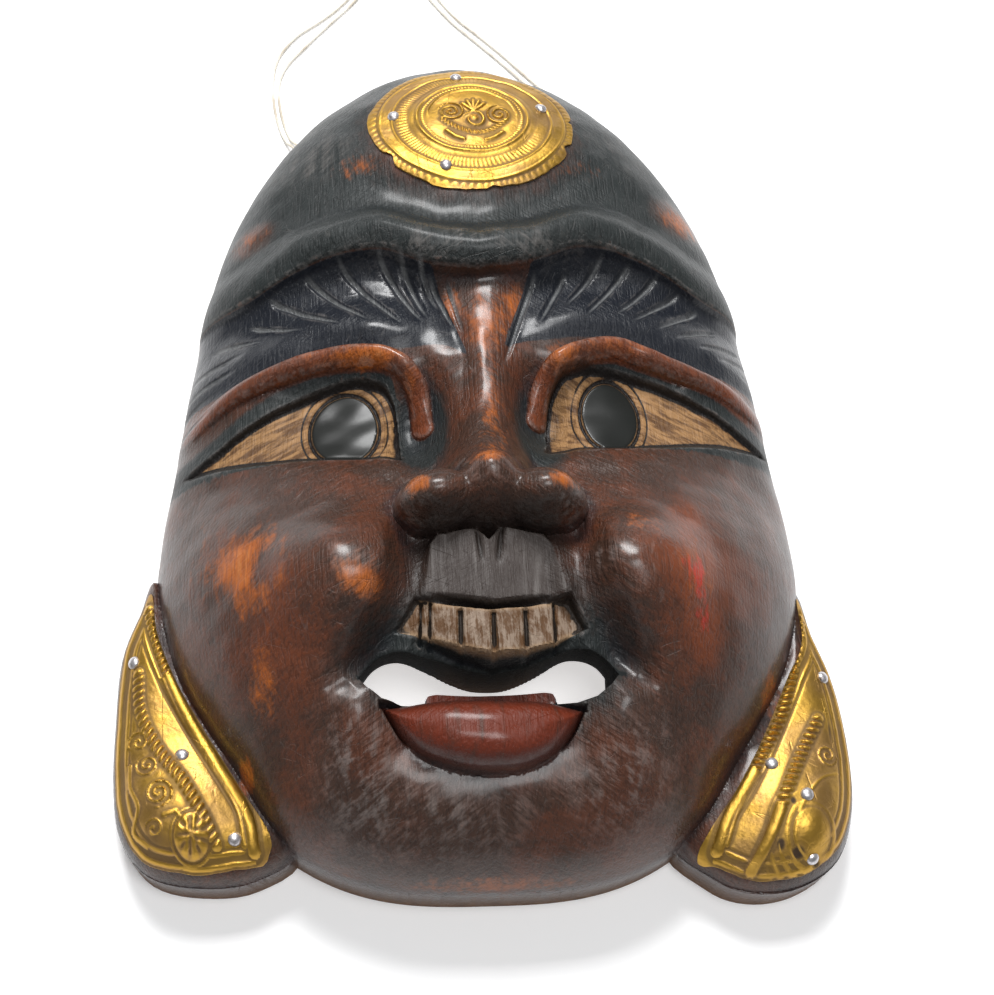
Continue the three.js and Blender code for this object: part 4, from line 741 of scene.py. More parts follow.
def lofted(name: str, rings: Sequence[Array]) -> bpy.types.Object:
    """Closed solid through rings of corners that run anticlockwise, from the lowest to the highest."""
    count = len(rings[0])
    first, last = list(range(count)), [count * (len(rings) - 1) + k for k in range(count)]
    faces = [first[::-1], last]
    for level in range(len(rings) - 1):
        low, high = level * count, (level + 1) * count
        faces += [[low + k, low + (k + 1) % count, high + (k + 1) % count, high + k] for k in range(count)]
    mesh = bpy.data.meshes.new(name)
    mesh.from_pydata((np.concatenate(rings) * MM).tolist(), [], faces)
    made = bpy.data.objects.new(name, mesh)
    bpy.context.scene.collection.objects.link(made)
    return made


def prism(name: str, outline: Array, bottom: float, top: float) -> bpy.types.Object:
    """Upright prism of an outline that runs anticlockwise."""
    return lofted(name, [np.column_stack([outline, np.full(len(outline), z)]) for z in (bottom, top)])


def settled(piece: bpy.types.Object) -> None:
    """Put the result of the piece's modifiers into its mesh."""
    depsgraph = bpy.context.evaluated_depsgraph_get()
    made = bpy.data.meshes.new_from_object(piece.evaluated_get(depsgraph))
    piece.modifiers.clear()
    piece.data = made


def discard(*tools: bpy.types.Object) -> None:
    """Remove helper objects and their meshes."""
    for tool in tools:
        mesh = tool.data
        bpy.data.objects.remove(tool)
        bpy.data.meshes.remove(mesh)


def cut(piece: bpy.types.Object, tool: bpy.types.Object, operation: str) -> None:
    """Add a boolean step with a tool to the piece."""
    step = piece.modifiers.new(tool.name, "BOOLEAN")
    step.operation = operation
    step.solver = "MANIFOLD"
    step.object = tool


def smooth_shaded(piece: bpy.types.Object, degrees: float) -> None:
    """Smooth shading, but for edges sharper than an angle."""
    mesh = piece.data
    mesh.polygons.foreach_set("use_smooth", np.ones(len(mesh.polygons), bool))
    mesh.set_sharp_from_angle(angle=math.radians(degrees))


def corners_mm(piece: bpy.types.Object) -> Array:
    """The mesh's corners in millimetres."""
    flat = np.empty(len(piece.data.vertices) * 3, np.float32)
    piece.data.vertices.foreach_get("co", flat)
    return flat.reshape(-1, 3).astype(float) / MM


def store(piece: bpy.types.Object, name: str, values: Array) -> None:
    """Keep one number for each corner of the mesh, for its material to read."""
    layer = piece.data.attributes.new(name, "FLOAT", "POINT")
    layer.data.foreach_set("value", np.ascontiguousarray(values, dtype=np.float32))


def finish_piece(piece: bpy.types.Object, material: bpy.types.Material, slot: str, *nodes: str) -> None:
    """Dress a piece, let it ride on the body and stand for its CAD nodes."""
    piece.data.materials.clear()
    piece.data.materials.append(material)
    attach(piece, BODY)
    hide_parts(*nodes)
    LOG.info("%s: %d corners, %d faces", piece.name, len(piece.data.vertices), len(piece.data.polygons))


# Materials

class Nodes:
    """Short calls that build one node tree."""

    def __init__(self, tree: bpy.types.NodeTree) -> None:
        """Start on an empty tree."""
        self.tree = tree
        tree.nodes.clear()

    def add(self, kind: str, **settings: object) -> bpy.types.Node:
        """New node of a kind, with some of its settings."""
        node = self.tree.nodes.new(kind)
        for name, value in settings.items():
            setattr(node, name, value)
        return node

    def put(self, socket: Socket, value: object) -> None:
        """Link a socket to an output, or set it to a plain value."""
        if isinstance(value, Socket):
            self.tree.links.new(value, socket)
        elif isinstance(value, tuple) and len(value) == 3 and socket.type == "RGBA":
            socket.default_value = (*value, 1.0)
        else:
            socket.default_value = value

    def math(self, operation: str, a: object, b: object = 0.0, limit: bool = False) -> Socket:
        """Result of a sum on one or two values."""
        node = self.add("ShaderNodeMath", operation=operation, use_clamp=limit)
        self.put(node.inputs[0], a)
        self.put(node.inputs[1], b)
        return node.outputs[0]

    def plus(self, a: object, b: object, limit: bool = False) -> Socket:
        """Sum of two values."""
        return self.math("ADD", a, b, limit)

    def minus(self, a: object, b: object, limit: bool = False) -> Socket:
        """Difference of two values."""
        return self.math("SUBTRACT", a, b, limit)

    def times(self, a: object, b: object, limit: bool = False) -> Socket:
        """Product of two values."""
        return self.math("MULTIPLY", a, b, limit)

    def larger(self, a: object, b: object) -> Socket:
        """The larger of two values."""
        return self.math("MAXIMUM", a, b)

    def blend(self, share: object, a: object, b: object, kind: str = "MIX") -> Socket:
        """Two colours mixed by a share."""
        node = self.add("ShaderNodeMix", data_type="RGBA", blend_type=kind)
        self.put(node.inputs["Factor"], share)
        self.put(node.inputs[6], a)
        self.put(node.inputs[7], b)
        return node.outputs[2]

    def between(self, value: object, low: float, high: float, to_low: float = 0.0,
                to_high: float = 1.0) -> Socket:
        """A value's smooth share of the way from low to high, laid over another span."""
        node = self.add("ShaderNodeMapRange", interpolation_type="SMOOTHSTEP")
        for socket, given in zip(node.inputs, (value, low, high, to_low, to_high)):
            self.put(socket, given)
        return node.outputs[0]

    def place(self, scale: Place = (1, 1, 1), turn: float = 0.0,
              mirrored: bool = False) -> Socket:
        """Places on the piece in metres, turned about Z, squeezed, and alike on both halves if mirrored."""
        place = self.add("ShaderNodeTexCoord").outputs["Object"]
        if mirrored:
            split = self.add("ShaderNodeSeparateXYZ")
            self.put(split.inputs[0], place)
            joined = self.add("ShaderNodeCombineXYZ")
            self.put(joined.inputs["X"], self.math("ABSOLUTE", split.outputs["X"]))
            self.put(joined.inputs["Y"], split.outputs["Y"])
            self.put(joined.inputs["Z"], split.outputs["Z"])
            place = joined.outputs[0]
        mapping = self.add("ShaderNodeMapping", vector_type="TEXTURE")
        self.put(mapping.inputs["Vector"], place)
        mapping.inputs["Scale"].default_value = tuple(1 / share for share in scale)
        mapping.inputs["Rotation"].default_value = (0, 0, math.radians(turn))
        return mapping.outputs[0]

    def noise(self, place: Socket, scale: float, detail: float = 3.0,
              roughness: float = 0.55) -> Socket:
        """Cloudy noise of a scale per metre."""
        node = self.add("ShaderNodeTexNoise")
        self.put(node.inputs["Vector"], place)
        node.inputs["Scale"].default_value = scale
        node.inputs["Detail"].default_value = detail
        node.inputs["Roughness"].default_value = roughness
        return node.outputs["Fac"]

    def stored(self, name: str) -> Socket:
        """A number that the mesh keeps at its corners."""
        node = self.add("ShaderNodeAttribute", attribute_type="GEOMETRY", attribute_name=name)
        return node.outputs["Fac"]

    def group(self, tree: bpy.types.NodeTree, **given: object) -> dict[str, Socket]:
        """Outputs of a node group, by name."""
        node = self.add("ShaderNodeGroup", node_tree=tree)
        for name, value in given.items():
            self.put(node.inputs[name], value)
        return {output.name: output for output in node.outputs}

    def bump(self, height: object, strength: float, distance: float) -> Socket:
        """Normal of a height in metres times distance."""
        node = self.add("ShaderNodeBump")
        node.inputs["Strength"].default_value = strength
        node.inputs["Distance"].default_value = distance
        self.put(node.inputs["Height"], height)
        return node.outputs[0]


def new_group(name: str, inputs: dict[str, float], outputs: Sequence[str]) -> tuple[Nodes, dict, dict]:
    """Start a node group of values.

    Args:
        name: the group's name.
        inputs: names of its inputs with their usual values.
        outputs: names of its outputs.

    Returns:
        The tree's builder, the outputs of its input node and the inputs of its output node, by name.
    """
    tree = bpy.data.node_groups.new(name, "ShaderNodeTree")
    for label, usual in inputs.items():
        tree.interface.new_socket(label, in_out="INPUT", socket_type="NodeSocketFloat").default_value = usual
    for label in outputs:
        tree.interface.new_socket(label, in_out="OUTPUT", socket_type="NodeSocketFloat")
    nodes = Nodes(tree)
    start, end = nodes.add("NodeGroupInput"), nodes.add("NodeGroupOutput")
    given = {socket.name: socket for socket in start.outputs}
    wanted = {socket.name: socket for socket in end.inputs}
    return nodes, given, wanted


@dataclass
class Effects:
    """Node groups that several materials share, each built once."""

    def __post_init__(self) -> None:
        """Build the groups."""
        self.grain = self._grain()
        self.scratches = self._scratches()
        self.cloud = self._cloud()
        self.hatching = self._hatching()

    def _grain(self) -> bpy.types.NodeTree:
        """Wood grain: streaks and fine lines that run from chin to crown."""
        nodes, given, wanted = new_group("wood_grain", {"Contrast": 1.0}, ("Streaks", "Lines"))
        wide = nodes.noise(nodes.place((1, 0.07, 0.6)), 260, 4)
        fine = nodes.noise(nodes.place((1, 0.05, 0.6), 2), 1300, 2)
        streaks = nodes.times(nodes.minus(wide, 0.5), given["Contrast"])
        nodes.put(wanted["Streaks"], nodes.plus(streaks, 0.5, True))
        nodes.put(wanted["Lines"], nodes.between(fine, 0.45, 0.62))
        return nodes.tree

    def _scratches(self) -> bpy.types.NodeTree:
        """Thin scratches in several directions."""
        nodes, given, wanted = new_group("scratches", {"Amount": 0.5}, ("Mask",))
        total: object = 0.0
        for turn, scale, wide in ((8, 90, 0.006), (-24, 130, 0.005), (63, 110, 0.004), (-70, 80, 0.004)):
            lines = nodes.noise(nodes.place((1, 0.05, 0.4), turn), scale, 1)
            thin = nodes.math("ABSOLUTE", nodes.minus(lines, 0.5))
            total = nodes.larger(total, nodes.between(thin, wide, 0.0))
        broken = nodes.between(nodes.noise(nodes.place(), 160, 2), 0.48, 0.6)
        mask = nodes.times(total, broken)
        nodes.put(wanted["Mask"], nodes.times(mask, given["Amount"], True))
        return nodes.tree

    def _hatching(self) -> bpy.types.NodeTree:
        """Short strokes of the scraper and brush, slanting up and inwards on both cheeks."""
        nodes, given, wanted = new_group("hatching", {"Contrast": 1.0}, ("Strokes",))
        fine = nodes.noise(nodes.place((0.16, 1, 0.6), -38, True), 950, 3, 0.6)
        broad = nodes.noise(nodes.place((0.25, 1, 0.6), -30, True), 330, 3, 0.6)
        both = nodes.plus(nodes.times(fine, 0.6), nodes.times(broad, 0.4))
        nodes.put(wanted["Strokes"], nodes.times(nodes.minus(both, 0.5), given["Contrast"]))
        return nodes.tree

    def _cloud(self) -> bpy.types.NodeTree:
        """Slow changes of tone, and grime in small specks."""
        nodes, given, wanted = new_group("tone", {"Size": 30.0}, ("Slow", "Specks"))
        node = nodes.add("ShaderNodeTexNoise")
        nodes.put(node.inputs["Vector"], nodes.place())
        nodes.put(node.inputs["Scale"], given["Size"])
        node.inputs["Detail"].default_value = 4
        nodes.put(wanted["Slow"], node.outputs["Fac"])
        nodes.put(wanted["Specks"], nodes.between(nodes.noise(nodes.place(), 900, 2), 0.6, 0.72))
        return nodes.tree


def new_material(name: str) -> tuple[bpy.types.Material, Nodes, bpy.types.Node]:
    """A material, the builder of its nodes and its shader."""
    material = bpy.data.materials.new(name)
    material.use_nodes = True
    nodes = Nodes(material.node_tree)
    shader = nodes.add("ShaderNodeBsdfPrincipled")
    output = nodes.add("ShaderNodeOutputMaterial")
    material.node_tree.links.new(shader.outputs[0], output.inputs["Surface"])
    return material, nodes, shader


@dataclass(frozen=True)
class LacqueredWood:
    """Dark varnish over stained wood, worn through to orange and bare wood, with painted brows and eyes, and
    with painted shade in hollows and grooves and painted highlights on rounded parts.
    """

    dark: Colour = (0.048, 0.024, 0.016)
    red_brown: Colour = (0.150, 0.038, 0.013)
    orange: Colour = (0.400, 0.100, 0.009)
    bright_wear: Colour = (0.55, 0.24, 0.08)
    green_black: Colour = (0.018, 0.022, 0.022)
    blue_black: Colour = (0.008, 0.010, 0.015)
    worn_hair: Colour = (0.210, 0.215, 0.215)
    scarlet: Colour = (0.45, 0.010, 0.006)
    grey: Colour = (0.20, 0.185, 0.175)
    eye_wood: Colour = (0.29, 0.160, 0.068)
    eye_streak: Colour = (0.10, 0.050, 0.022)
    tooth: Colour = (0.23, 0.170, 0.125)
    tooth_foot: Colour = (0.34, 0.225, 0.130)
    plate: Colour = (0.050, 0.040, 0.036)
    lip: Colour = (0.125, 0.020, 0.007)
    iris: Colour = (0.012, 0.013, 0.012)
    mouth_wall: Colour = (0.010, 0.012, 0.012)
    bare_back: Colour = (0.22, 0.115, 0.055)
    back_streak: Colour = (0.10, 0.045, 0.02)
    groove_shade: Colour = (0.016, 0.011, 0.009)
    tooth_gap_shade: Colour = (0.02, 0.014, 0.01)
    lip_edge_shade: Colour = (0.030, 0.009, 0.006)
    ledge_streak: Colour = (0.020, 0.008, 0.006)
    eye_groove_shade: Colour = (0.012, 0.009, 0.008)
    coat: float = 0.45
    coat_roughness: float = 0.22
    coat_ior: float = 1.45
    specular: float = 0.25
    roughness: float = 0.42
    bump: Pair = (0.7, 0.0005)

    def build(self, effects: Effects) -> bpy.types.Material:
        """The material, which reads the maps kept on the mesh."""
        material, n, shader = new_material("lacquered_wood")
        grain = n.group(effects.grain, Contrast=1.5)
        scratch = n.group(effects.scratches, Amount=1.0)["Mask"]
        tone = n.group(effects.cloud, Size=38.0)
        hatching = n.group(effects.hatching, Contrast=2.0)["Strokes"]
        streaks, lines = grain["Streaks"], grain["Lines"]
        ragged = n.minus(n.noise(n.place((1, 0.3, 1), 12), 420, 4, 0.65), 0.5)
        crest, form = n.stored("crest"), n.stored("form")

        redness = n.plus(n.stored("red"), n.times(n.between(tone["Slow"], 0.42, 0.62), 0.35))
        redness = n.plus(redness, n.times(hatching, 0.7))
        redness = n.plus(redness, n.times(n.minus(streaks, 0.5), 0.3), True)
        colour = n.blend(redness, self.dark, self.red_brown)
        # Green-black paint together with painted shade in the eye sockets and creases
        green_and_shade = n.between(n.plus(n.stored("green_and_shade"), n.times(ragged, 0.5)), 0.2, 0.75)
        colour = n.blend(green_and_shade, colour, self.green_black)
        colour = n.blend(n.times(lines, 0.25), colour, BLACK)

        # Wear to orange, with painted highlight on the lids near the nose
        worn = n.plus(n.stored("worn"), n.times(ragged, 1.5))
        worn = n.plus(worn, n.times(n.minus(streaks, 0.5), 0.4))
        worn = n.plus(worn, n.times(hatching, 0.5))
        worn = n.plus(worn, n.times(crest, 0.2))
        worn_mask = n.between(worn, 0.3, 1.2)
        wear = n.blend(n.between(worn, 1.1, 1.9, 0.0, 0.7), self.orange, self.bright_wear)
        wear = n.blend(n.times(lines, 0.4), wear, self.red_brown)
        colour = n.blend(n.times(worn_mask, 0.85), colour, wear)

        scarlet = n.between(n.plus(n.stored("red"), ragged), 1.05, 1.4)
        colour = n.blend(scarlet, colour, self.scarlet)
        black = n.between(n.plus(n.stored("black"), n.times(ragged, 0.35)), 0.35, 0.6)
        colour = n.blend(black, colour, self.blue_black)
        hair = n.times(n.stored("hair"), n.between(ragged, -0.2, 0.1, 0.7, 1.1), True)
        colour = n.blend(hair, colour, self.worn_hair)

        # Grey of wax haze, worn edges and scratches, mixed with painted highlight and sheen on the rounded
        # parts and edges
        haze_and_sheen = n.times(n.stored("haze_and_sheen"), n.between(n.plus(streaks, hatching), 0.35, 0.95))
        edge_haze_and_sheen = n.times(n.between(crest, 0.25, 0.8), 0.55)
        haze_and_sheen = n.larger(haze_and_sheen, n.times(edge_haze_and_sheen, n.between(ragged, -0.12, 0.12)))
        scratches_and_sheen = n.larger(n.times(haze_and_sheen, 0.55), n.times(scratch, 0.12))
        colour = n.blend(scratches_and_sheen, colour, self.grey)
        # Painted shade: parts lying below their surroundings are darkened towards blue-black.
        colour = n.blend(n.between(form, 0.0, -0.8, 0.0, 0.5), colour, self.blue_black)
        colour, rough = self._parts(n, colour, scratches_and_sheen, worn_mask, streaks, lines, ragged)

        inside = n.stored("inside")
        colour = n.blend(inside, colour, self.mouth_wall)
        rough = n.larger(rough, inside)
        front = n.stored("front")
        bare = n.blend(streaks, self.bare_back, self.back_streak)
        colour = n.blend(front, bare, colour)
        n.put(shader.inputs["Base Color"], colour)
        n.put(shader.inputs["Roughness"], n.plus(rough, n.between(front, 1.0, 0.0, 0.0, 0.35)))
        coat = n.minus(self.coat, n.times(scratches_and_sheen, self.coat), True)
        matt = n.between(n.stored("teeth"), -0.2, 0.2)
        matt = n.larger(matt, n.between(n.stored("eye"), -0.2, 0.2))
        matt = n.larger(matt, n.between(n.stored("plate"), -9.0, -4.0))
        gloss = n.times(coat, n.minus(1.0, n.times(matt, 0.9)))
        gloss = n.times(gloss, n.minus(1.0, inside))
        gloss = n.times(gloss, n.between(n.stored("green_and_shade"), 0.2, 1.0, 1.0, 0.35))
        n.put(shader.inputs["Coat Weight"], n.times(gloss, front))
        shader.inputs["Coat Roughness"].default_value = self.coat_roughness
        shader.inputs["Specular IOR Level"].default_value = self.specular
        shader.inputs["Coat IOR"].default_value = self.coat_ior
        height = n.plus(n.times(streaks, 0.5), n.times(lines, -0.35))
        height = n.minus(height, n.times(scratch, 0.4))
        height = n.plus(height, n.times(ragged, 0.6))
        height = n.plus(height, n.times(hatching, 1.0))
        height = n.times(height, n.between(n.stored("iris"), 0.3, -0.2))
        n.put(shader.inputs["Normal"], n.bump(height, *self.bump))
        return material

    def _parts(self, n: Nodes, colour: object, scratches_and_sheen: object, worn: object, streaks: object,
               lines: object, ragged: object) -> tuple[object, object]:
        """Colours of the eyes, teeth and lips over the skin's, with painted shade in their grooves and at the
        lip's edges, and the roughness of all of them.
        """
        rough = n.plus(n.times(scratches_and_sheen, 0.35), n.times(worn, 0.15))
        rough = n.plus(rough, n.times(ragged, 0.2))
        rough = n.plus(rough, n.times(n.stored("green_and_shade"), 0.08))
        rough = n.plus(rough, self.roughness)

        # Painted shade in the folds beside the lip plate.
        flank = n.between(n.stored("plate"), -8.5, -2.5)
        flank = n.minus(flank, n.between(n.stored("plate"), 0.0, 0.6))
        colour = n.blend(n.times(flank, 0.75, True), colour, self.groove_shade)
        plate = n.between(n.stored("plate"), -0.3, 0.3)
        plate_colour = n.blend(n.times(n.between(streaks, 0.5, 0.9), 0.6), self.plate, self.grey)
        # Painted shade in the plate's grooves.
        plate_colour = n.blend(n.between(n.stored("crest"), -0.05, -0.5), plate_colour, self.groove_shade)
        colour = n.blend(plate, colour, plate_colour)
        rough = n.larger(rough, n.times(plate, 0.5))

        teeth = n.stored("teeth")
        inside = n.between(teeth, 0.0, 0.5)
        facets = n.noise(n.place((1, 0.5, 1), 10), 300, 4, 0.7)
        facets = n.between(n.plus(facets, n.times(lines, 0.1)), 0.42, 0.62)
        tooth = n.blend(facets, self.tooth, self.eye_streak)
        tooth = n.blend(n.times(n.between(teeth, 2.2, 0.5), 0.6), tooth, self.tooth_foot)
        # Painted shade in the gaps between the teeth.
        tooth = n.blend(n.between(n.stored("crest"), -0.1, -0.5), tooth, self.tooth_gap_shade)
        colour = n.blend(inside, colour, tooth)
        rough = n.larger(rough, n.times(inside, 0.55))

        lip = n.between(n.stored("lip"), -0.4, 0.3)
        lip_colour = n.blend(n.between(streaks, 0.5, 0.9), self.lip, self.dark)
        # Painted shade: the lip darkens towards its edges where it rounds away.
        near_edge = n.between(n.stored("lip"), 4.6, 0.5, 0.0, 0.75)
        lip_colour = n.blend(near_edge, lip_colour, self.lip_edge_shade)
        colour = n.blend(lip, colour, lip_colour)
        ledge = n.between(n.stored("ledge"), -0.3, 0.2)
        colour = n.blend(ledge, colour, n.blend(streaks, self.lip, self.ledge_streak))

        rim = n.minus(n.between(n.stored("eye"), -1.6, -0.6), n.between(n.stored("eye"), 0.3, 0.8))
        eye = n.between(n.stored("eye"), 0.2, 0.8)
        slanted = n.noise(n.place((0.14, 1, 0.5), -27, True), 520, 5, 0.7)
        wood = n.blend(n.between(slanted, 0.42, 0.62), self.eye_wood, self.eye_streak)
        # Painted shade in the grooves of the eye.
        wood = n.blend(n.between(n.stored("crest"), -0.05, -0.5), wood, self.eye_groove_shade)
        colour = n.blend(eye, colour, wood)
        # Painted shade in the groove round the eye.
        colour = n.blend(n.times(rim, 0.6, True), colour, self.groove_shade)
        rough = n.larger(rough, n.times(eye, 0.5))
        iris = n.between(n.stored("iris"), -0.2, 0.3)
        colour = n.blend(iris, colour, self.iris)
        rough = n.math("MINIMUM", rough, n.between(iris, 0.0, 1.0, 1.0, 0.32))
        return colour, rough


@dataclass(frozen=True)
class EmbossedBrass:
    """Thin brass beaten over the wood, crinkled, with dark tarnish in its recesses and painted highlight on
    its raised ridges.
    """

    bright: Colour = (0.56, 0.33, 0.060)
    dull: Colour = (0.44, 0.260, 0.085)
    tarnish: Colour = (0.05, 0.028, 0.012)
    roughness: float = 0.40

    def build(self, effects: Effects) -> bpy.types.Material:
        """The material, which reads the recesses kept on the mesh."""
        material, n, shader = new_material("embossed_brass")
        tone = n.group(effects.cloud, Size=60.0)
        scratch = n.group(effects.scratches, Amount=1.0)["Mask"]
        crest = n.stored("crest")
        colour = n.blend(n.between(tone["Slow"], 0.4, 0.65), self.bright, self.dull)
        recess = n.plus(n.between(crest, 0.0, -0.7), n.times(tone["Specks"], 0.3), True)
        stained = n.larger(n.times(recess, 0.65), n.stored("dark"))
        colour = n.blend(stained, colour, self.tarnish)
        # Painted highlight: raised ridges are coloured brighter.
        colour = n.blend(n.between(crest, 0.15, 0.8), colour, self.bright)
        n.put(shader.inputs["Base Color"], colour)
        n.put(shader.inputs["Metallic"], n.minus(1.0, n.times(stained, 0.7)))
        rough = n.plus(self.roughness, n.times(stained, 0.3))
        rough = n.plus(rough, n.times(tone["Slow"], 0.12))
        n.put(shader.inputs["Roughness"], rough)
        crinkle = n.noise(n.place(), 420, 4, 0.6)
        dents = n.noise(n.place(), 130, 2)
        height = n.plus(n.times(crinkle, 0.6), n.times(dents, 1.2))
        height = n.minus(height, n.times(scratch, 0.2))
        n.put(shader.inputs["Normal"], n.bump(height, 0.6, 0.0006))
        return material


@dataclass(frozen=True)
class NailSteel:
    """Pale zinc-coated steel of the nail heads, a little grimy."""

    pale: Colour = (0.62, 0.60, 0.62)
    grime: Colour = (0.16, 0.13, 0.11)

    def build(self, effects: Effects) -> bpy.types.Material:
        """The material."""
        material, n, shader = new_material("nail_steel")
        tone = n.group(effects.cloud, Size=420.0)
        scratch = n.group(effects.scratches, Amount=0.6)["Mask"]
        n.put(shader.inputs["Base Color"], n.blend(n.between(tone["Slow"], 0.5, 0.75), self.pale, self.grime))
        shader.inputs["Metallic"].default_value = 0.85
        n.put(shader.inputs["Roughness"], n.between(tone["Slow"], 0.3, 0.7, 0.28, 0.5))
        height = n.minus(tone["Slow"], n.times(scratch, 0.3))
        n.put(shader.inputs["Normal"], n.bump(height, 0.4, 0.0002))
        return material


@dataclass(frozen=True)
class Cotton:
    """Off-white cotton twine, slightly soiled, with a fibrous surface."""

    clean: Colour = (0.80, 0.76, 0.68)
    soiled: Colour = (0.56, 0.50, 0.41)

    def build(self, effects: Effects) -> bpy.types.Material:
        """The material."""
        material, n, shader = new_material("cotton_twine")
        tone = n.group(effects.cloud, Size=90.0)
        fibres = n.noise(n.place(), 3200, 4, 0.7)
        soil = n.plus(n.between(tone["Slow"], 0.45, 0.7), n.times(fibres, 0.3), True)
        n.put(shader.inputs["Base Color"], n.blend(soil, self.clean, self.soiled))
        shader.inputs["Roughness"].default_value = 0.92
        shader.inputs["Sheen Weight"].default_value = 0.3
        n.put(shader.inputs["Normal"], n.bump(fibres, 0.7, 0.0002))
        return material


@dataclass(frozen=True)
class PaleSurface:
    """Plain near-white surface under the mask, glowing a little all over, with painted light: a stronger glow
    under the open mouth.
    """

    white: Colour = (0.93, 0.93, 0.935)
    glow: float = 0.10
    painted_light_in_mouth: float = 0.6
    shade: Colour = (0.9, 0.9, 0.9)
    mouth_place: Pair = (0.0, -0.095)
    mouth_radii: Pair = (0.075, 0.055)

    def build(self, effects: Effects) -> bpy.types.Material:
        """The material."""
        material, n, shader = new_material("pale_surface")
        tone = n.group(effects.cloud, Size=3.0)
        n.put(shader.inputs["Base Color"], n.blend(n.times(tone["Slow"], 0.2), self.white, self.shade))
        shader.inputs["Roughness"].default_value = 0.6
        place = n.add("ShaderNodeSeparateXYZ")
        n.put(place.inputs[0], n.place())
        across = n.times(place.outputs["X"], 1 / self.mouth_radii[0])
        down = n.times(n.minus(place.outputs["Y"], self.mouth_place[1]), 1 / self.mouth_radii[1])
        off = n.plus(n.times(across, across), n.times(down, down))
        # Painted light: the surface glows brighter under the open mouth.
        lit = n.between(off, 1.0, 0.6, self.glow, self.painted_light_in_mouth)
        n.put(shader.inputs["Emission Color"], n.blend(lit, BLACK, WHITE))
        shader.inputs["Emission Strength"].default_value = 1.0
        return material


# Pieces

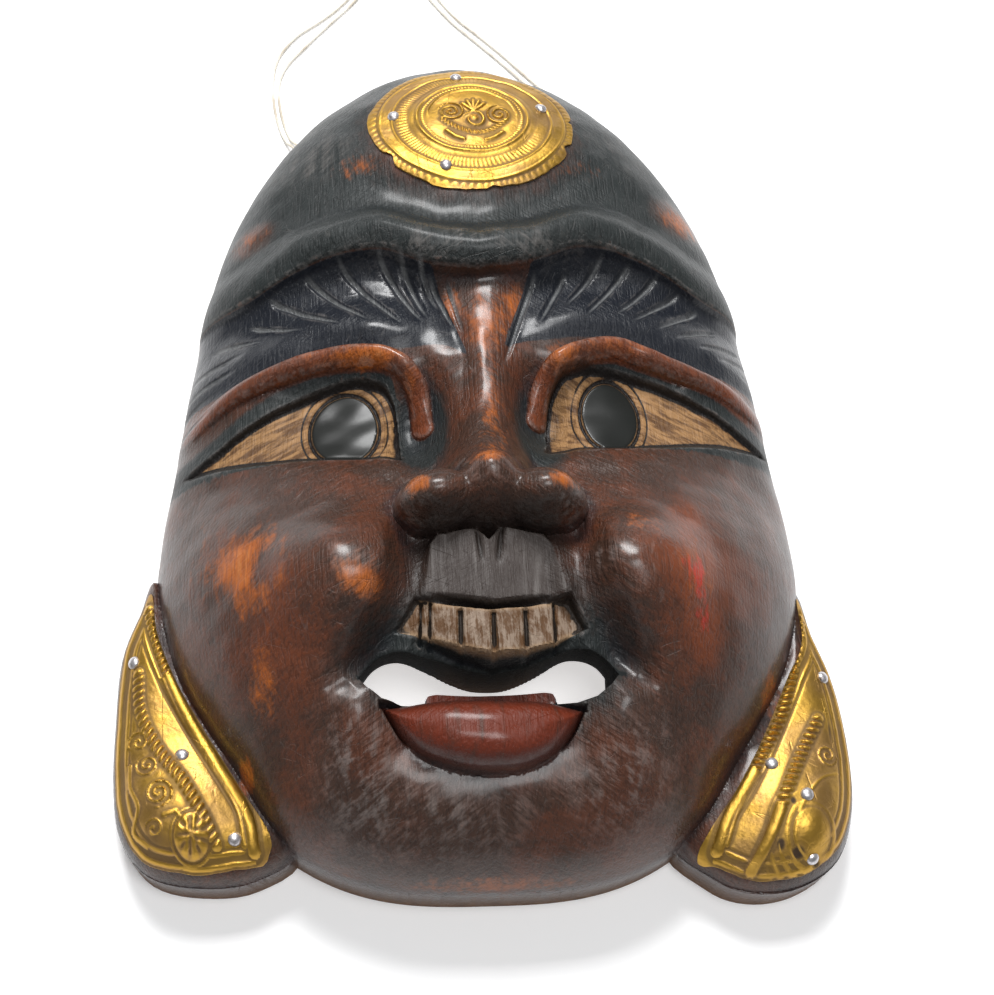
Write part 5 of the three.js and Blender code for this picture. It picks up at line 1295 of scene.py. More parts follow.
@dataclass
class MaskBody:
    """The carved block: face, ears, open mouth and hollow back."""

    carving: Carving
    rim_width: float = 11.0
    hollow_depth: float = 32.0
    hollow_fullness: float = 2.6
    pockets: tuple[Spot, ...] = (
        (-54, -76, 46, 44, 25), (54, -76, 46, 44, 25), (0, -44, 22, 22, 20), (0, 88, 74, 54, 20))
    gouge: float = 0.35
    mouth_foot: tuple[Pair, ...] = (
        (-41, -101), (-38.5, -104), (-34, -107.2), (-28, -108), (-21, -108), (-20.6, -106.4), (-19.8, -104.9),
        (-17, -104.2), (0, -103.4), (16, -104.2), (18.8, -104.9), (19.6, -106.4), (20, -108.4), (26, -108.8),
        (32, -107.6), (36.5, -104.4), (39, -101))
    wall_foot: float = -20.0
    wall_top: float = 62.0
    above: float = 110.0
    hidden_below: float = 22.0
    kept_share: float = 0.21
    cord_holes: tuple[tuple[Pair, Pair], ...] = (
        ((-48.2, 114.9), (-68, 141.8)), ((41.5, 117.6), (61, 146)))

    def build(self, material: bpy.types.Material) -> bpy.types.Object:
        """Carve the block and dress it."""
        c = self.carving
        piece = block("carved_block", c.xs, c.ys, np.maximum(c.height, 1.0), -20.0)
        thin = piece.modifiers.new("thin", "DECIMATE")
        thin.ratio = self.kept_share
        plain = piece.vertex_groups.new(name="plain")
        plain.add(np.flatnonzero(~c.detail.ravel()).tolist(), 1.0, "REPLACE")
        thin.vertex_group = plain.name
        LOG.info("fine corners kept: %d", int(c.detail.sum()))
        settled(piece)
        face = prism("face_outline", c.block_outline(720), 0, self.above)
        ears = []
        for side in Side:
            outline = c.ear_outline[side][::-1 if side is Side.RIGHT else 1]
            ears.append(prism(f"ear_outline_{side.name.lower()}", outline, 0, self.above))
        for ear in ears:
            cut(face, ear, "UNION")
        settled(face)
        tools = [self._hollow(), self._mouth(), *self._holes()]
        cut(piece, face, "INTERSECT")
        for tool in tools:
            cut(piece, tool, "DIFFERENCE")
        settled(piece)
        discard(face, *ears, *tools)
        self._keep_maps(piece)
        smooth_shaded(piece, 50)
        finish_piece(piece, material, "lacquered_wood", "mask_body")
        return piece

    def _keep_maps(self, piece: bpy.types.Object) -> None:
        """Keep the carving's maps at the corners of the mesh."""
        c = self.carving
        x, y, z = corners_mm(piece).T
        over = z - c.sample(c.height, x, y)
        front = smooth_step(-2.5, -1.0, over)
        beside = np.abs(over) > 0.8
        shown = z > self.hidden_below
        mouth_wall = (np.abs(x) < 47) & (y > -112) & (y < -78) & shown & beside
        front = np.maximum(front, mouth_wall * smooth_step(self.hidden_below, self.hidden_below + 8, z))
        store(piece, "front", front)
        below = np.clip(self.wall_top - z, 0, self.wall_top - self.wall_foot)
        wall_y = curve(c.mouth_top, x) + self._lean(x) * below
        on_wall = (np.abs(y - wall_y) < 0.9) & (np.abs(x) < 41.5) & shown
        store(piece, "inside", np.maximum(mouth_wall, on_wall).astype(float))
        for name, values in c.maps.items():
            store(piece, name, c.sample(values, x, y))

    def _hollow(self) -> bpy.types.Object:
        """The scooped-out back as a solid, with faint gouge marks."""
        rings, sectors = 60, 180
        edge = self.carving.block_outline(sectors, self.rim_width)
        share = np.sin(np.arange(1, rings + 1) / rings * math.pi / 2)
        xy = share[:, None, None] * edge[None]
        x, y = xy[..., 0], xy[..., 1]
        bowl = self.hollow_depth * np.sqrt(np.clip(1 - share ** self.hollow_fullness, 0, 1))[:, None]
        deeper = swellings(x, y, self.pockets)
        gouges = self.gouge * np.abs(np.sin(x * 0.42 + np.sin(y * 0.06) * 2))
        gouges = gouges * np.abs(np.sin(y * 0.16 + x * 0.05))
        gouges = gouges * (1 - swelling(x, y, 0, -98, 70, 50))
        z = bowl + (deeper - gouges) * smooth_step(1, 0.8, share)[:, None]
        ring_points = np.stack([x, y, z], axis=-1).reshape(-1, 3)
        foot = ring_points[-sectors:].copy()
        foot[:, 2] = -5
        top_z = self.hollow_depth + float(swellings(np.array(0.0), np.array(0.0), self.pockets))
        points = np.concatenate([ring_points, foot, [[0, 0, top_z], [0, 0, -5]]])
        around = np.arange(sectors)
        last = rings * sectors
        top = fan(last + sectors, around)
        bottom = fan(last + sectors + 1, last + around)[:, [0, 2, 1]]
        sides = halves(grid_faces(rings + 1, sectors, True))
        return mesh_object("hollow", points, np.concatenate([sides, top, bottom]))

    @staticmethod
    def _lean(x: Array) -> Array:
        """How far the mouth's upper wall leans back for each millimetre down."""
        return 0.06 + 0.13 * smooth_step(3, 26, np.abs(x))

    def _mouth(self) -> bpy.types.Object:
        """The open mouth as a solid whose upper wall slopes back behind its corners."""
        c = self.carving
        at, foot_y = np.asarray(self.mouth_foot, float).T
        across = np.unique(np.concatenate([at, np.linspace(at[0], at[-1], 60)]))
        foot = np.column_stack([across, np.interp(across, at, foot_y)])
        top = np.column_stack([across, curve(c.mouth_top, across)])[1:-1][::-1]
        outline = np.concatenate([foot, top])
        back = self._lean(outline[:, 0])
        back[:len(foot)] = 0.0
        rings = []
        for z in (self.wall_foot, self.wall_top, self.above):
            y = outline[:, 1] + back * max(self.wall_top - z, 0.0)
            rings.append(np.column_stack([outline[:, 0], y, np.full(len(outline), z)]))
        return lofted("mouth", rings)

    def _holes(self) -> list[bpy.types.Object]:
        """Drilled holes for the cord, as bars."""
        made = []
        for number, (start, end) in enumerate(self.cord_holes):
            path = np.array([[*start, 4.7], [*end, 4.7]])
            made.append(tube(f"cord_hole_{number}", path, lambda s, a: np.full(np.shape(s + a), 2.4), 24))
        return made


def tube(name: str, path: Array, radius: Callable[[Array, Array], Array],
         sides: int) -> bpy.types.Object:
    """Closed tube along a path.

    Args:
        name: the piece's name.
        path: points of its middle line, in millimetres.
        radius: radius for a way along the path and an angle round it.
        sides: corners round the tube.

    Returns:
        The tube's object.
    """
    step = np.gradient(path, axis=0)
    forward = step / np.linalg.norm(step, axis=1, keepdims=True)
    along = np.concatenate([[0], np.cumsum(np.linalg.norm(np.diff(path, axis=0), axis=1))])
    across = [np.cross(forward[0], (0.0, 0.0, 1.0))]
    if np.linalg.norm(across[0]) < 0.1:
        across = [np.cross(forward[0], (1.0, 0.0, 0.0))]
    for direction in forward[1:]:
        across.append(across[-1] - direction * np.dot(across[-1], direction))
    across = np.array(across) / np.linalg.norm(across, axis=1, keepdims=True)
    up = np.cross(across, forward)
    angle = np.arange(sides) / sides * 2 * math.pi
    r = radius(along[:, None], angle[None, :])[..., None]
    ring = across[:, None] * np.cos(angle)[None, :, None] + up[:, None] * np.sin(angle)[None, :, None]
    points = (path[:, None] + ring * r).reshape(-1, 3)
    count = len(path)
    quads = grid_faces(count, sides, True)
    sides_faces = np.concatenate([quads[:, [0, 2, 1]], quads[:, [0, 3, 2]]])
    here = np.arange(sides)
    start = fan(count * sides, here)
    end = fan(count * sides + 1, (count - 1) * sides + here)[:, [0, 2, 1]]
    points = np.concatenate([points, path[:1], path[-1:]])
    return mesh_object(name, points, np.concatenate([sides_faces, start, end]))


def ridge_along(x: Array, y: Array, line: Sequence[Pair], half: float) -> Array:
    """Rounded ridge of height 1 along a line."""
    distance = line_distance(x, y, line)[0]
    return np.sqrt(np.clip(1 - (distance / half) ** 2, 0, 1))


def rope_along(x: Array, y: Array, line: Sequence[Pair], half: float, pitch: float,
               stop: float = 1e9) -> Array:
    """Twisted rope of height 1 along a line, plain past some way along it."""
    distance, along, left = line_distance(x, y, line)
    twist = 0.62 + 0.38 * np.cos(2 * math.pi * (along / pitch + 0.35 * left / half))
    twist = np.where(along > stop, 0.85, twist)
    return np.sqrt(np.clip(1 - (distance / half) ** 2, 0, 1)) * twist


def scroll(x: Array, y: Array, centre: Pair, radius: float, turns: float, hand: int,
           start: float = 0.0) -> Array:
    """Raised spiral of height 1."""
    u, v = x - centre[0], y - centre[1]
    r, angle = np.hypot(u, v), np.arctan2(v, u) * hand / (2 * math.pi) + start
    pitch = radius / turns
    off = np.abs((r / pitch - angle + 0.5) % 1 - 0.5)
    return bell(off / 0.3) * smooth_step(radius, radius - 0.4, r)


@dataclass
class CrownDisc:
    """Round embossed plate on the crown, with torn edges."""

    carving: Carving
    centre: Pair = (0.5, 112.0)
    radii: Pair = (38.0, 33.2)
    tears: tuple[Place, ...] = ((3.75, 0.12, 0.05), (5.9, 0.10, 0.05), (0.1, 0.05, 0.03), (4.9, 0.08, 0.025))
    gap: float = 0.3
    sheet: float = 0.5
    rings: int = 100
    sectors: int = 400

    def build(self, material: bpy.types.Material) -> bpy.types.Object:
        """Beat the disc over the crown and dress it."""
        share = (np.arange(self.rings + 1) / self.rings)[:, None]
        angle = (np.arange(self.sectors) / self.sectors * 2 * math.pi)[None, :]
        torn = 1 - (1 - self._edge(angle)) * smooth_step(0.86, 1.0, share)
        x = self.centre[0] + self.radii[0] * share * torn * np.cos(angle)
        y = self.centre[1] + self.radii[1] * share * torn * np.sin(angle)
        raised = self._relief(share * torn, angle, x, y)
        under = self.carving.wood(x, y) + self.gap
        top = under + self.sheet + raised
        points = np.concatenate([np.stack([x, y, z], axis=-1).reshape(-1, 3) for z in (top, under)])
        layer = x.size
        middle = fan(0, self.sectors + np.arange(self.sectors))
        middles = np.concatenate([middle, middle[:, ::-1] + layer])
        tops = halves(grid_faces(self.rings + 1, self.sectors, True)[self.sectors:])
        bottoms = tops[:, ::-1] + layer
        outer = self.rings * self.sectors + np.arange(self.sectors)
        after = np.roll(outer, -1)
        walls = np.concatenate([np.stack([outer, outer + layer, after + layer], axis=1),
                                np.stack([outer, after + layer, after], axis=1)])
        piece = mesh_object("crown_disc_plate", points, np.concatenate([tops, bottoms, walls, middles]))
        mean = blurred(np.concatenate([raised] * 3, axis=1), 3.0)[:, self.sectors:2 * self.sectors]
        crest = np.clip((raised - mean) * 5, -1, 1).ravel()
        return self._dressed(piece, np.concatenate([crest, crest * 0]), material)

    @staticmethod
    def _dressed(piece: bpy.types.Object, crest: Array, material: bpy.types.Material) -> bpy.types.Object:
        """Keep the maps, drop loose corners and finish the piece."""
        store(piece, "crest", crest)
        store(piece, "dark", np.zeros(len(crest)))
        mesh = piece.data
        used = np.zeros(len(mesh.vertices), bool)
        loops = np.empty(len(mesh.loops), np.int32)
        mesh.loops.foreach_get("vertex_index", loops)
        used[loops] = True
        drop_corners(mesh, ~used)
        smooth_shaded(piece, 70)
        finish_piece(piece, material, "brass", "crown_disc")
        return piece

    def _edge(self, angle: Array) -> Array:
        """The torn edge's radius as a share of the disc's."""
        phases = np.random.default_rng(5)
        edge = np.full(angle.shape, 0.985)
        for waves in (5, 9, 14, 23, 37, 61):
            edge = edge + 0.05 / waves * np.sin(waves * angle + phases.uniform(0, 6.28))
        for where, wide, deep in self.tears:
            edge = edge - deep * bell((angle - where) / wide)
        return np.clip(edge, 0.88, 1.0)

    def _relief(self, share: Array, angle: Array, x: Array, y: Array) -> Array:
        """Embossed rings, hatching and scrollwork."""
        z = 0.55 * bell((share - 0.885) / 0.022)
        z = z + 0.35 * smooth_step(0.88, 0.86, share) * smooth_step(0.76, 0.80, share)
        z = z + 0.6 * bell((share - 0.765) / 0.02)
        fine = 0.5 + 0.5 * np.cos(110 * angle + 6 * np.sin(3 * angle))
        z = z + 0.32 * fine * bell((share - 0.68) / 0.075) * smooth_step(0.9, 0.1, np.cos(angle - 0.4))
        z = z + 0.22 * (0.5 + 0.5 * np.cos(84 * angle + 4 * np.sin(5 * angle))) * bell((share - 0.945) / 0.05)
        z = z + 0.35 * smooth_step(0.62, 0.56, share) + 0.65 * bell((share - 0.53) / 0.024)
        beads = 0.6 + 0.4 * np.cos(90 * angle)
        z = z + 0.35 * beads * bell((share - 0.48) / 0.02)
        z = z + 0.5 * bell((share - 0.43) / 0.016) * smooth_step(-0.2, 0.3, np.sin(angle))
        inner = smooth_step(0.42, 0.38, share)
        forms = scroll(x, y, (-7.4, 113.6), 5.2, 2.4, 1)
        forms = np.maximum(forms, scroll(x, y, (10.2, 112.4), 4.8, 2.2, -1, 0.5))
        forms = np.maximum(forms, 1.2 * bell(np.hypot(x - 1.0, y - 110.2) / 2.2))
        forms = np.maximum(forms, scroll(x, y, (1.0, 109.6), 4.4, 1.6, 1, 0.25))
        for lean in (-48, -24, 0, 24, 48):
            tip = (1.0 + 5.2 * math.sin(math.radians(lean)), 114.4 + 5.2 * math.cos(math.radians(lean)))
            forms = np.maximum(forms, ridge_along(x, y, ((1.0, 114.0), tip), 0.8))
        for side in (-1, 1):
            swag = [(1 + side * t, 103.2 + 0.05 * t * t) for t in (0, 3, 6, 9, 11.5)]
            forms = np.maximum(forms, rope_along(x, y, swag, 1.1, 1.5))
            leaf = [(1 + side * 4, 99.6), (1 + side * 7, 100.9), (1 + side * 10, 103.6)]
            forms = np.maximum(forms, ridge_along(x, y, leaf, 0.8))
        return z + 0.75 * forms * inner


def drop_corners(mesh: bpy.types.Mesh, unused: Array) -> None:
    """Remove corners that no face uses."""
    work = bmesh.new()
    work.from_mesh(mesh)
    work.verts.ensure_lookup_table()
    spare = [work.verts[int(k)] for k in np.nonzero(unused)[0]]
    bmesh.ops.delete(work, geom=spare, context="VERTS")
    work.to_mesh(mesh)
    work.free()


@dataclass
class EarPlate:
    """Embossed plate beaten over one ear lobe."""

    carving: Carving
    side: Side
    twin_shift: float = 3.2
    step: float = 0.42
    gap: float = 0.3
    sheet: float = 0.5
    outlines: dict[Side, tuple[Pair, ...]] = field(default_factory=lambda: {
        Side.LEFT: (
            (-110.6, -56.5), (-115.2, -66.5), (-119, -80), (-119.8, -100), (-119.3, -120), (-116, -136),
            (-107.5, -147.3), (-92, -151), (-76, -149.5), (-69.8, -147), (-69.5, -139), (-79, -124.5),
            (-90.5, -106), (-99.5, -90.5), (-107, -73)),
        Side.RIGHT: (
            (107.6, -61.5), (112.2, -75), (117.4, -93), (119.3, -114), (118, -133), (111.2, -148),
            (98.5, -156), (84, -157.4), (72, -153), (65.6, -149.5), (70, -141), (79.7, -128),
            (89.7, -111.5), (100.3, -91), (106.8, -78)),
    })
    ropes: dict[Side, tuple[tuple[Pair, ...], ...]] = field(default_factory=lambda: {
        Side.LEFT: (
            ((-111, -63), (-103.5, -85), (-95.5, -102.5), (-85.5, -118.5), (-76.5, -133.5), (-74, -145)),
            ((-112.6, -86), (-111.2, -99), (-105, -112), (-96.5, -123), (-90, -134), (-85.5, -143.5))),
        Side.RIGHT: (
            ((107.4, -70), (103.2, -85), (96.2, -104.5), (85.5, -122.5), (76, -137), (71.5, -148)),
            ((108.5, -106), (100.5, -119), (94, -131), (87, -146), (82, -154.5))),
    })

    def build(self, material: bpy.types.Material) -> bpy.types.Object:
        """Beat the plate over the lobe and dress it."""
        outline = self._outline()
        low, high = outline.min(axis=0) - 2, outline.max(axis=0) + 2
        xs, ys = np.arange(low[0], high[0], self.step), np.arange(low[1], high[1], self.step)
        x, y = np.meshgrid(xs, ys, indexing="ij")
        raised = self._relief(x, y, outline)
        under = self.carving.wood(x, y) + self.gap
        top = under + self.sheet + raised
        name = self.side.name.lower()
        piece = slab(f"ear_plate_{name}_sheet", xs, ys, top, under)
        tool = prism("plate_outline", outline if self._anticlockwise(outline) else outline[::-1], -20, 110)
        cut(piece, tool, "INTERSECT")
        settled(piece)
        discard(tool)
        crest = np.clip((raised - blurred(raised, 2.5)) * 5, -1, 1)
        px, py, pz = corners_mm(piece).T
        i = np.clip(np.rint((px - xs[0]) / self.step).astype(int), 0, len(xs) - 1)
        j = np.clip(np.rint((py - ys[0]) / self.step).astype(int), 0, len(ys) - 1)
        above = pz > under[i, j] + 0.2
        store(piece, "crest", crest[i, j] * above)
        store(piece, "dark", self._stains(px, py) * above)
        smooth_shaded(piece, 70)
        finish_piece(piece, material, "brass", f"ear_plate_{name}")
        return piece

    @staticmethod
    def _anticlockwise(outline: Array) -> bool:
        """True if the outline runs anticlockwise."""
        x, y = outline.T
        return float(np.sum(x * np.roll(y, -1) - np.roll(x, -1) * y)) > 0

    def _outline(self) -> Array:
        """The plate's outline with small waves and nicks, kept inside the lobe's."""
        line = smooth_points(self.outlines[self.side], 14, True)
        tears = np.random.default_rng(3 if self.side is Side.LEFT else 4)
        centre = line.mean(axis=0)
        t = np.arange(len(line)) / len(line) * 2 * math.pi
        shrink = np.full(len(line), 0.992)
        for waves in (11, 17, 29, 43):
            shrink = shrink + 0.035 / waves * np.sin(waves * t + tears.uniform(0, 6.28))
        return centre + (line - centre) * np.clip(shrink, 0.97, 0.998)[:, None]

    def _relief(self, x: Array, y: Array, outline: Array) -> Array:
        """Embossed lines, ropes, scrolls and the boss at the foot of the lobe."""
        depth = depth_inside(x, y, outline)
        outer = smooth_step(-1, 1, self._outward(x, y))
        z = (0.5 * bell((depth - 1.3) / 0.9) + 0.45 * bell((depth - 4.4) / 1.0)) * outer
        z = z + 0.3 * smooth_step(5.2, 6.2, depth) * outer
        first, second = (smooth_points(rope, 8) for rope in self.ropes[self.side])
        stops = (26, 1e9) if self.side is Side.LEFT else (58, 34)
        z = np.maximum(z, 1.9 * rope_along(x, y, first, 2.0, 2.3, stops[0]))
        z = np.maximum(z, 1.7 * rope_along(x, y, second, 2.1, 2.4, stops[1]))
        past = line_distance(x, y, first)[1] > stops[0]
        twin = first + np.array([self.side.value * self.twin_shift * 0.85, self.twin_shift * 0.5])
        z = np.maximum(z, 1.0 * ridge_along(x, y, twin, 1.1) * past * (depth > 0.6))
        return np.maximum(z, self._scrolls(x, y)) * smooth_step(0, 0.5, depth)

    def _outward(self, x: Array, y: Array) -> Array:
        """How far a point lies on the outer side of the first rope."""
        rope = smooth_points(self.ropes[self.side][0], 4)
        return self.side.value * line_distance(x, y, rope)[2]

    def _scrolls(self, x: Array, y: Array) -> Array:
        """Spirals and the boss at their foot."""
        if self.side is Side.LEFT:
            z = 0.9 * scroll(x, y, (-111.2, -109.4), 3.9, 1.6, 1)
            z = np.maximum(z, 0.95 * scroll(x, y, (-107.8, -117.4), 4.2, 2.0, -1, 0.3))
            z = np.maximum(z, 1.0 * scroll(x, y, (-103.6, -127.2), 5.0, 2.4, -1, 0.1))
            z = np.maximum(z, 0.8 * scroll(x, y, (-104.6, -138.2), 3.4, 1.5, 1))
            wave = [(-113.6, -117), (-113.2, -124), (-110, -131), (-111.5, -138), (-107, -142.6)]
            z = np.maximum(z, 0.8 * ridge_along(x, y, smooth_points(wave, 5), 0.8))
            leaf = [(-101.5, -134.4), (-97.8, -133.2), (-95.4, -136)]
            z = np.maximum(z, 0.8 * ridge_along(x, y, leaf, 0.9))
            return np.maximum(z, self._rosette(x, y, (-92.6, -140.6), 7.0, 8.6))
        z = 0.9 * scroll(x, y, (109.9, -118.4), 4.0, 2.0, 1)
        arc = [(112.5, -124.5), (106, -127), (100.5, -132.8), (97.2, -138)]
        z = np.maximum(z, 0.6 * ridge_along(x, y, smooth_points(arc, 5), 0.7))
        return np.maximum(z, self._ringed_boss(x, y, (101.5, -144.5)))

    @staticmethod
    def _rosette(x: Array, y: Array, centre: Pair, rx: float, ry: float) -> Array:
        """Oval knob of small lumps in rings round its middle."""
        u, v = (x - centre[0]) / rx, (y - centre[1]) / ry
        r, angle = np.hypot(u, v), np.arctan2(v, u)
        dome = 2.4 * np.sqrt(np.clip(1 - (r / 0.85) ** 2, 0, 1))
        lumps = 0.35 * np.cos(9 * angle) * bell((r - 0.55) / 0.3)
        lumps = lumps + 0.3 * np.cos(5 * angle) * bell((r - 0.25) / 0.2)
        return dome + lumps + 0.6 * bell((r - 0.95) / 0.1)

    @staticmethod
    def _ringed_boss(x: Array, y: Array, centre: Pair) -> Array:
        """Smooth knob with raised rings round the side that faces the cheek."""
        u, v = x - centre[0], (y - centre[1]) * 0.85
        r = np.hypot(u, v)
        rings = 0.5 * (0.5 + 0.5 * np.cos(2 * math.pi * r / 2.9))
        rings = rings * smooth_step(18, 15, r) * smooth_step(4.5, 7, r)
        inward = smooth_step(3, -4, u + 0.25 * v)
        return 1.5 * bell(r / 9) + rings * inward + 0.4 * bell((r - 8) / 1.2) * (1 - inward)

    def _stains(self, x: Array, y: Array) -> Array:
        """Dark patches where the plate is holed or stained."""
        places = {
            Side.LEFT: ((-104, -141, 6, 5, 0.5),),
            Side.RIGHT: (
                (96.4, -150.0, 3.6, 3.0, 1.6), (90.9, -147.5, 2.2, 3.0, 1.5), (99.6, -133.2, 2.2, 1.8, 1.4),
                (95.6, -134.5, 1.6, 2.0, 1.4), (103, -152.6, 2.4, 1.8, 1.2), (112, -110, 0.9, 7, 1.0),
                (85, -154, 12, 4, 0.6)),
        }[self.side]
        return np.clip(swellings(x, y, places), 0, 1)


@dataclass
class Nails:
    """The domed heads of the nails that hold the brass."""

    carving: Carving
    radius: float = 2.2
    rise: float = 1.1
    stand: float = 1.3
    sides: int = 28
    profile: tuple[Pair, ...] = (
        (0.02, 1.1), (0.2, 1.07), (0.4, 0.98), (0.58, 0.84), (0.74, 0.64), (0.87, 0.38), (0.95, 0.14),
        (1.0, -0.1), (1.0, -0.5), (0.9, -0.9), (0.02, -0.9))
    places: dict[str, Pair] = field(default_factory=lambda: {
        "disc_nail_left": (-28, 114), "disc_nail_top": (-4.5, 137), "disc_nail_right": (26.2, 119.5),
        "disc_nail_bottom": (-9.7, 88.5), "ear_nail_left_upper": (-114.6, -82),
        "ear_nail_left_middle": (-97, -114.5), "ear_nail_left_lower": (-79.8, -141.5),
        "ear_nail_right_upper": (112.6, -91), "ear_nail_right_middle": (90.7, -121.5),
        "ear_nail_right_outer": (100.4, -132.5), "ear_nail_right_lower": (101.8, -151.5)})

    def build(self, material: bpy.types.Material) -> None:
        """Set every nail head and dress it."""
        dents = np.random.default_rng(9)
        for name, (x, y) in self.places.items():
            piece = self._head(f"{name}_head", x, y, dents)
            smooth_shaded(piece, 50)
            finish_piece(piece, material, "nail_steel", name)

    def _head(self, name: str, x: float, y: float, dents: np.random.Generator) -> bpy.types.Object:
        """One head: a hammered dome with a rolled edge, standing along the surface's normal."""
        angle = np.arange(self.sides) / self.sides * 2 * math.pi
        rows = []
        flat, lean = dents.uniform(-0.08, 0.08), dents.uniform(0, 6.28)
        for share, height in self.profile:
            r = self.radius * share * (1 + 0.015 * np.sin(3 * angle + lean))
            z = height * self.rise + flat * share * np.cos(angle - lean) * (height > 0)
            rows.append(np.stack([r * np.cos(angle), r * np.sin(angle), z + 0 * angle], axis=-1))
        points = np.concatenate([np.concatenate(rows), [[0, 0, rows[0][0, 2]], [0, 0, rows[-1][0, 2]]]])
        turn = Vector((0, 0, 1)).rotation_difference(self.carving.normal(x, y)).to_matrix()
        base = np.array([x, y, float(self.carving.wood([x], [y])[0]) + self.stand])
        points = points @ np.array(turn).T + base
        count = len(self.profile) * self.sides
        here = np.arange(self.sides)
        top = fan(count, here)
        bottom = fan(count + 1, count - self.sides + here)[:, [0, 2, 1]]
        flank = halves(grid_faces(len(self.profile), self.sides, True))
        return mesh_object(name, points, np.concatenate([flank, top, bottom]))


@dataclass
class HangingCord:
    """Doubled cotton cord: two twisted strands with an overhand knot at each end."""

    diameter: float = 1.2
    plies: int = 3
    pitch: float = 3.4
    sides: int = 24
    spacing: float = 0.35
    knot_radius: float = 2.6
    routes: dict[str, tuple[Place, ...]] = field(default_factory=lambda: {
        "outer": (
            (-52, 118.6, 5.4), (-56, 124, 5.4), (-60, 129.6, 5.4), (-64.4, 135.8, 5.2), (-67.6, 140.2, 3.2),
            (-70.4, 144.6, 1.2), (-73.4, 153, 0.8), (-75.4, 164, 0.8), (-75.8, 176, 0.8),
            (-73.6, 187, 0.8), (-66.8, 197.4, 0.8), (-58.6, 204.4, 0.8), (-51.4, 211, 0.8),
            (-44.4, 219.6, 0.8), (-38, 231, 0.8), (-29.6, 238.6, 0.8), (-20.4, 236.4, 0.8),
            (-13.6, 227, 0.8), (-7.4, 217.6, 0.8), (-0.4, 207.8, 0.8), (8.8, 198.4, 0.8),
            (19, 187.6, 0.8), (28.4, 176.6, 0.8), (37.6, 167.4, 0.8), (47.4, 159.8, 0.8),
            (56.6, 152.4, 0.8), (60.8, 147.4, 1.6), (60.2, 143.2, 3.8), (57.6, 139.6, 5.2),
            (54.6, 135.4, 5.4), (51.4, 130.6, 5.4), (47.4, 124.8, 5.4)),
        "inner": (
            (-50.8, 120, 3.9), (-54.8, 125.4, 3.9), (-58.8, 130.8, 3.9), (-63.1, 136.8, 3.8),
            (-66, 141.8, 2.4), (-68.6, 146, 0.9), (-71.4, 154, 0.8), (-73.2, 164, 0.8), (-73.2, 174, 0.8),
            (-70.2, 182.6, 0.8), (-64, 191, 0.8), (-57, 199.8, 0.8), (-49.8, 208.2, 0.8),
            (-42.6, 217, 0.8), (-36.2, 228, 0.8), (-29, 235.4, 0.8), (-22, 233.6, 0.8),
            (-15.8, 225, 0.8), (-9.6, 215.6, 0.8), (-2.4, 205.8, 0.8), (6.6, 196.2, 0.8),
            (16.8, 185.4, 0.8), (26.2, 174.8, 0.8), (35.6, 165.4, 0.8), (45.4, 157.6, 0.8),
            (54, 150.8, 0.8), (57.6, 146.6, 0.9), (57.4, 143.6, 2.2), (56, 140.2, 3.6),
            (53.2, 136.2, 3.9), (50.2, 131.8, 3.9), (46.2, 126, 3.9)),
    })

    def build(self, material: bpy.types.Material) -> None:
        knots = self._knots(material)
        for name, route in self.routes.items():
            path = self._even(smooth_points(route, 12))
            piece = tube(f"cord_{name}", path, self._twist, self.sides)
            smooth_shaded(piece, 80)
            finish_piece(piece, material, "cotton", f"cord_strand_{name}")

    def _even(self, path: Array) -> Array:
        """Points at even distances along a path."""
        along = np.concatenate([[0], np.cumsum(np.linalg.norm(np.diff(path, axis=0), axis=1))])
        at = np.linspace(0, along[-1], int(along[-1] / self.spacing))
        return np.stack([np.interp(at, along, path[:, k]) for k in range(3)], axis=1)

    def _twist(self, along: Array, angle: Array) -> Array:
        """Radius of the strand: its plies wind round each other, a little unevenly."""
        turn = self.plies * (angle - 2 * math.pi * along / self.pitch)
        ply = 0.80 + 0.20 * np.abs(np.cos(turn / 2)) ** 0.7
        uneven = 1 - 0.05 * (0.5 + 0.5 * np.sin(along * 0.9) * np.sin(along * 0.23 + 1))
        return self.diameter / 2 * ply * uneven

    def _knots(self, material: bpy.types.Material) -> list[bpy.types.Object]:
        """An overhand knot at each end of the strands."""
        made = []
        for side, last, before in (("left", 0, 1), ("right", -1, -2)):
            pairs = [[route[k] for route in self.routes.values()] for k in (last, before)]
            ends = np.array(pairs).mean(axis=1)
            inward = (ends[0] - ends[1]) / np.linalg.norm(ends[0] - ends[1])
            centre = ends[0] + inward * (self.knot_radius + 0.3)
            t = np.linspace(0, 2 * math.pi, 160)[:-1]
            loop = np.stack([np.sin(t) + 2 * np.sin(2 * t), np.cos(t) - 2 * np.cos(2 * t),
                             -1.4 * np.sin(3 * t)], axis=1)
            loop = loop / 3 * (self.knot_radius - self.diameter / 2)
            turn = Vector((0, 0, 1)).rotation_difference(Vector(inward)).to_matrix()
            path = loop @ np.array(turn).T + centre
            piece = tube(f"cord_{side}_knot", path, self._twist, self.sides)
            smooth_shaded(piece, 80)
            finish_piece(piece, material, "cotton", f"cord_knot_{side}")
            made.append(piece)
        return made


@dataclass(frozen=True)
class SoftLight:
    """One soft rectangular light that faces a target."""

    name: str
    place: Place
    target: Place
    size: Pair
    power: float

    def build(self) -> None:
        """Hang the light."""
        data = bpy.data.lights.new(self.name, "AREA")
        data.shape = "RECTANGLE"
        data.size, data.size_y = self.size
        data.energy = self.power
        light = bpy.data.objects.new(self.name, data)
        direction = Vector(self.target) - Vector(self.place)
        light.rotation_euler = direction.to_track_quat("-Z", "Y").to_euler()
        light.location = self.place
        bpy.context.scene.collection.objects.link(light)


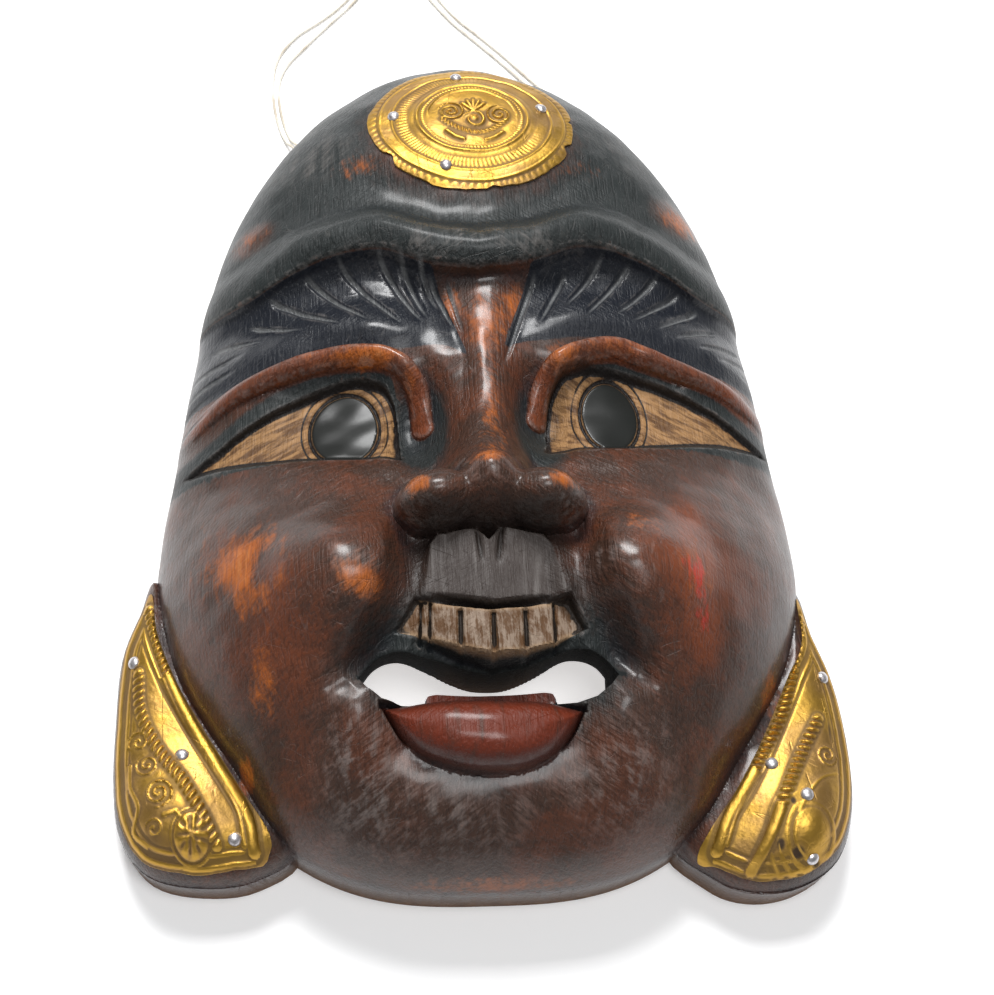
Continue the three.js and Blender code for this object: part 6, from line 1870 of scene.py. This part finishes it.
@dataclass
class Studio:
    """White surface, soft light from above the crown, and the camera over the chin."""

    eye: Place = (-0.03260, -0.26479, 0.54135)
    right: Place = (0.9976, -0.0377, 0.0575)
    up: Place = (0.0099, 0.9060, 0.4232)
    back: Place = (-0.0681, -0.4216, 0.9042)
    lens: float = 59.84
    sensor: float = 36.0
    floor_reach: float = 2600.0
    floor_drop: float = 0.15
    surroundings: Colour = (0.97, 0.98, 1.0)
    strength: float = 0.16
    lights: tuple[SoftLight, ...] = (
        SoftLight("crown_window", (-0.12, 0.95, 1.30), (0.0, 0.0, 0.02), (0.50, 0.45), 30.0),
        SoftLight("overhead", (0.15, -0.30, 1.9), (0.0, 0.0, 0.0), (0.7, 0.7), 20.0))

    def build(self, effects: Effects) -> None:
        """Set up the surroundings."""
        self._camera()
        self._surface(effects)
        for light in self.lights:
            light.build()
        self._world()
        settings = bpy.context.scene.view_settings
        settings.view_transform = "Standard"
        settings.look = "None"
        settings.exposure = 0.0

    def _camera(self) -> None:
        """Camera at the photograph's place."""
        data = bpy.data.cameras.new("camera")
        data.lens = self.lens
        data.sensor_width = self.sensor
        data.clip_start = 0.01
        camera = bpy.data.objects.new("camera", data)
        axes = Matrix((self.right, self.up, self.back)).transposed().to_4x4()
        camera.matrix_world = Matrix.Translation(self.eye) @ axes
        bpy.context.scene.collection.objects.link(camera)
        bpy.context.scene.camera = camera

    def _surface(self, effects: Effects) -> None:
        """Wide plain surface that the mask lies on."""
        half, low = self.floor_reach, -self.floor_drop
        points = np.array([[-half, -half, low], [half, -half, low], [half, half, low], [-half, half, low]])
        floor = mesh_object("pale_surface", points, np.array([[0, 1, 2, 3]]))
        floor.data.materials.append(PaleSurface().build(effects))

    def _world(self) -> None:
        """Even pale surroundings."""
        world = bpy.data.worlds.new("surroundings")
        world.use_nodes = True
        nodes = Nodes(world.node_tree)
        background = nodes.add("ShaderNodeBackground")
        background.inputs["Color"].default_value = (*self.surroundings, 1.0)
        background.inputs["Strength"].default_value = self.strength
        backdrop = nodes.add("ShaderNodeBackground")
        seen = nodes.add("ShaderNodeLightPath").outputs["Is Camera Ray"]
        either = nodes.add("ShaderNodeMixShader")
        nodes.put(either.inputs[0], seen)
        nodes.put(either.inputs[1], background.outputs[0])
        nodes.put(either.inputs[2], backdrop.outputs[0])
        output = nodes.add("ShaderNodeOutputWorld")
        nodes.put(output.inputs["Surface"], either.outputs[0])
        bpy.context.scene.world = world


def main() -> None:
    """Build the scene piece by piece."""
    logging.basicConfig(level=logging.INFO, format="%(message)s")
    effects = Effects()
    Studio().build(effects)
    HangingCord().build(Cotton().build(effects))
    carving = Carving()
    LOG.info("carving: %d by %d heights", *carving.height.shape)
    MaskBody(carving).build(LacqueredWood().build(effects))
    brass = EmbossedBrass().build(effects)
    CrownDisc(carving).build(brass)
    for side in Side:
        EarPlate(carving, side).build(brass)
    Nails(carving).build(NailSteel().build(effects))


if __name__ == "__main__":
    main()
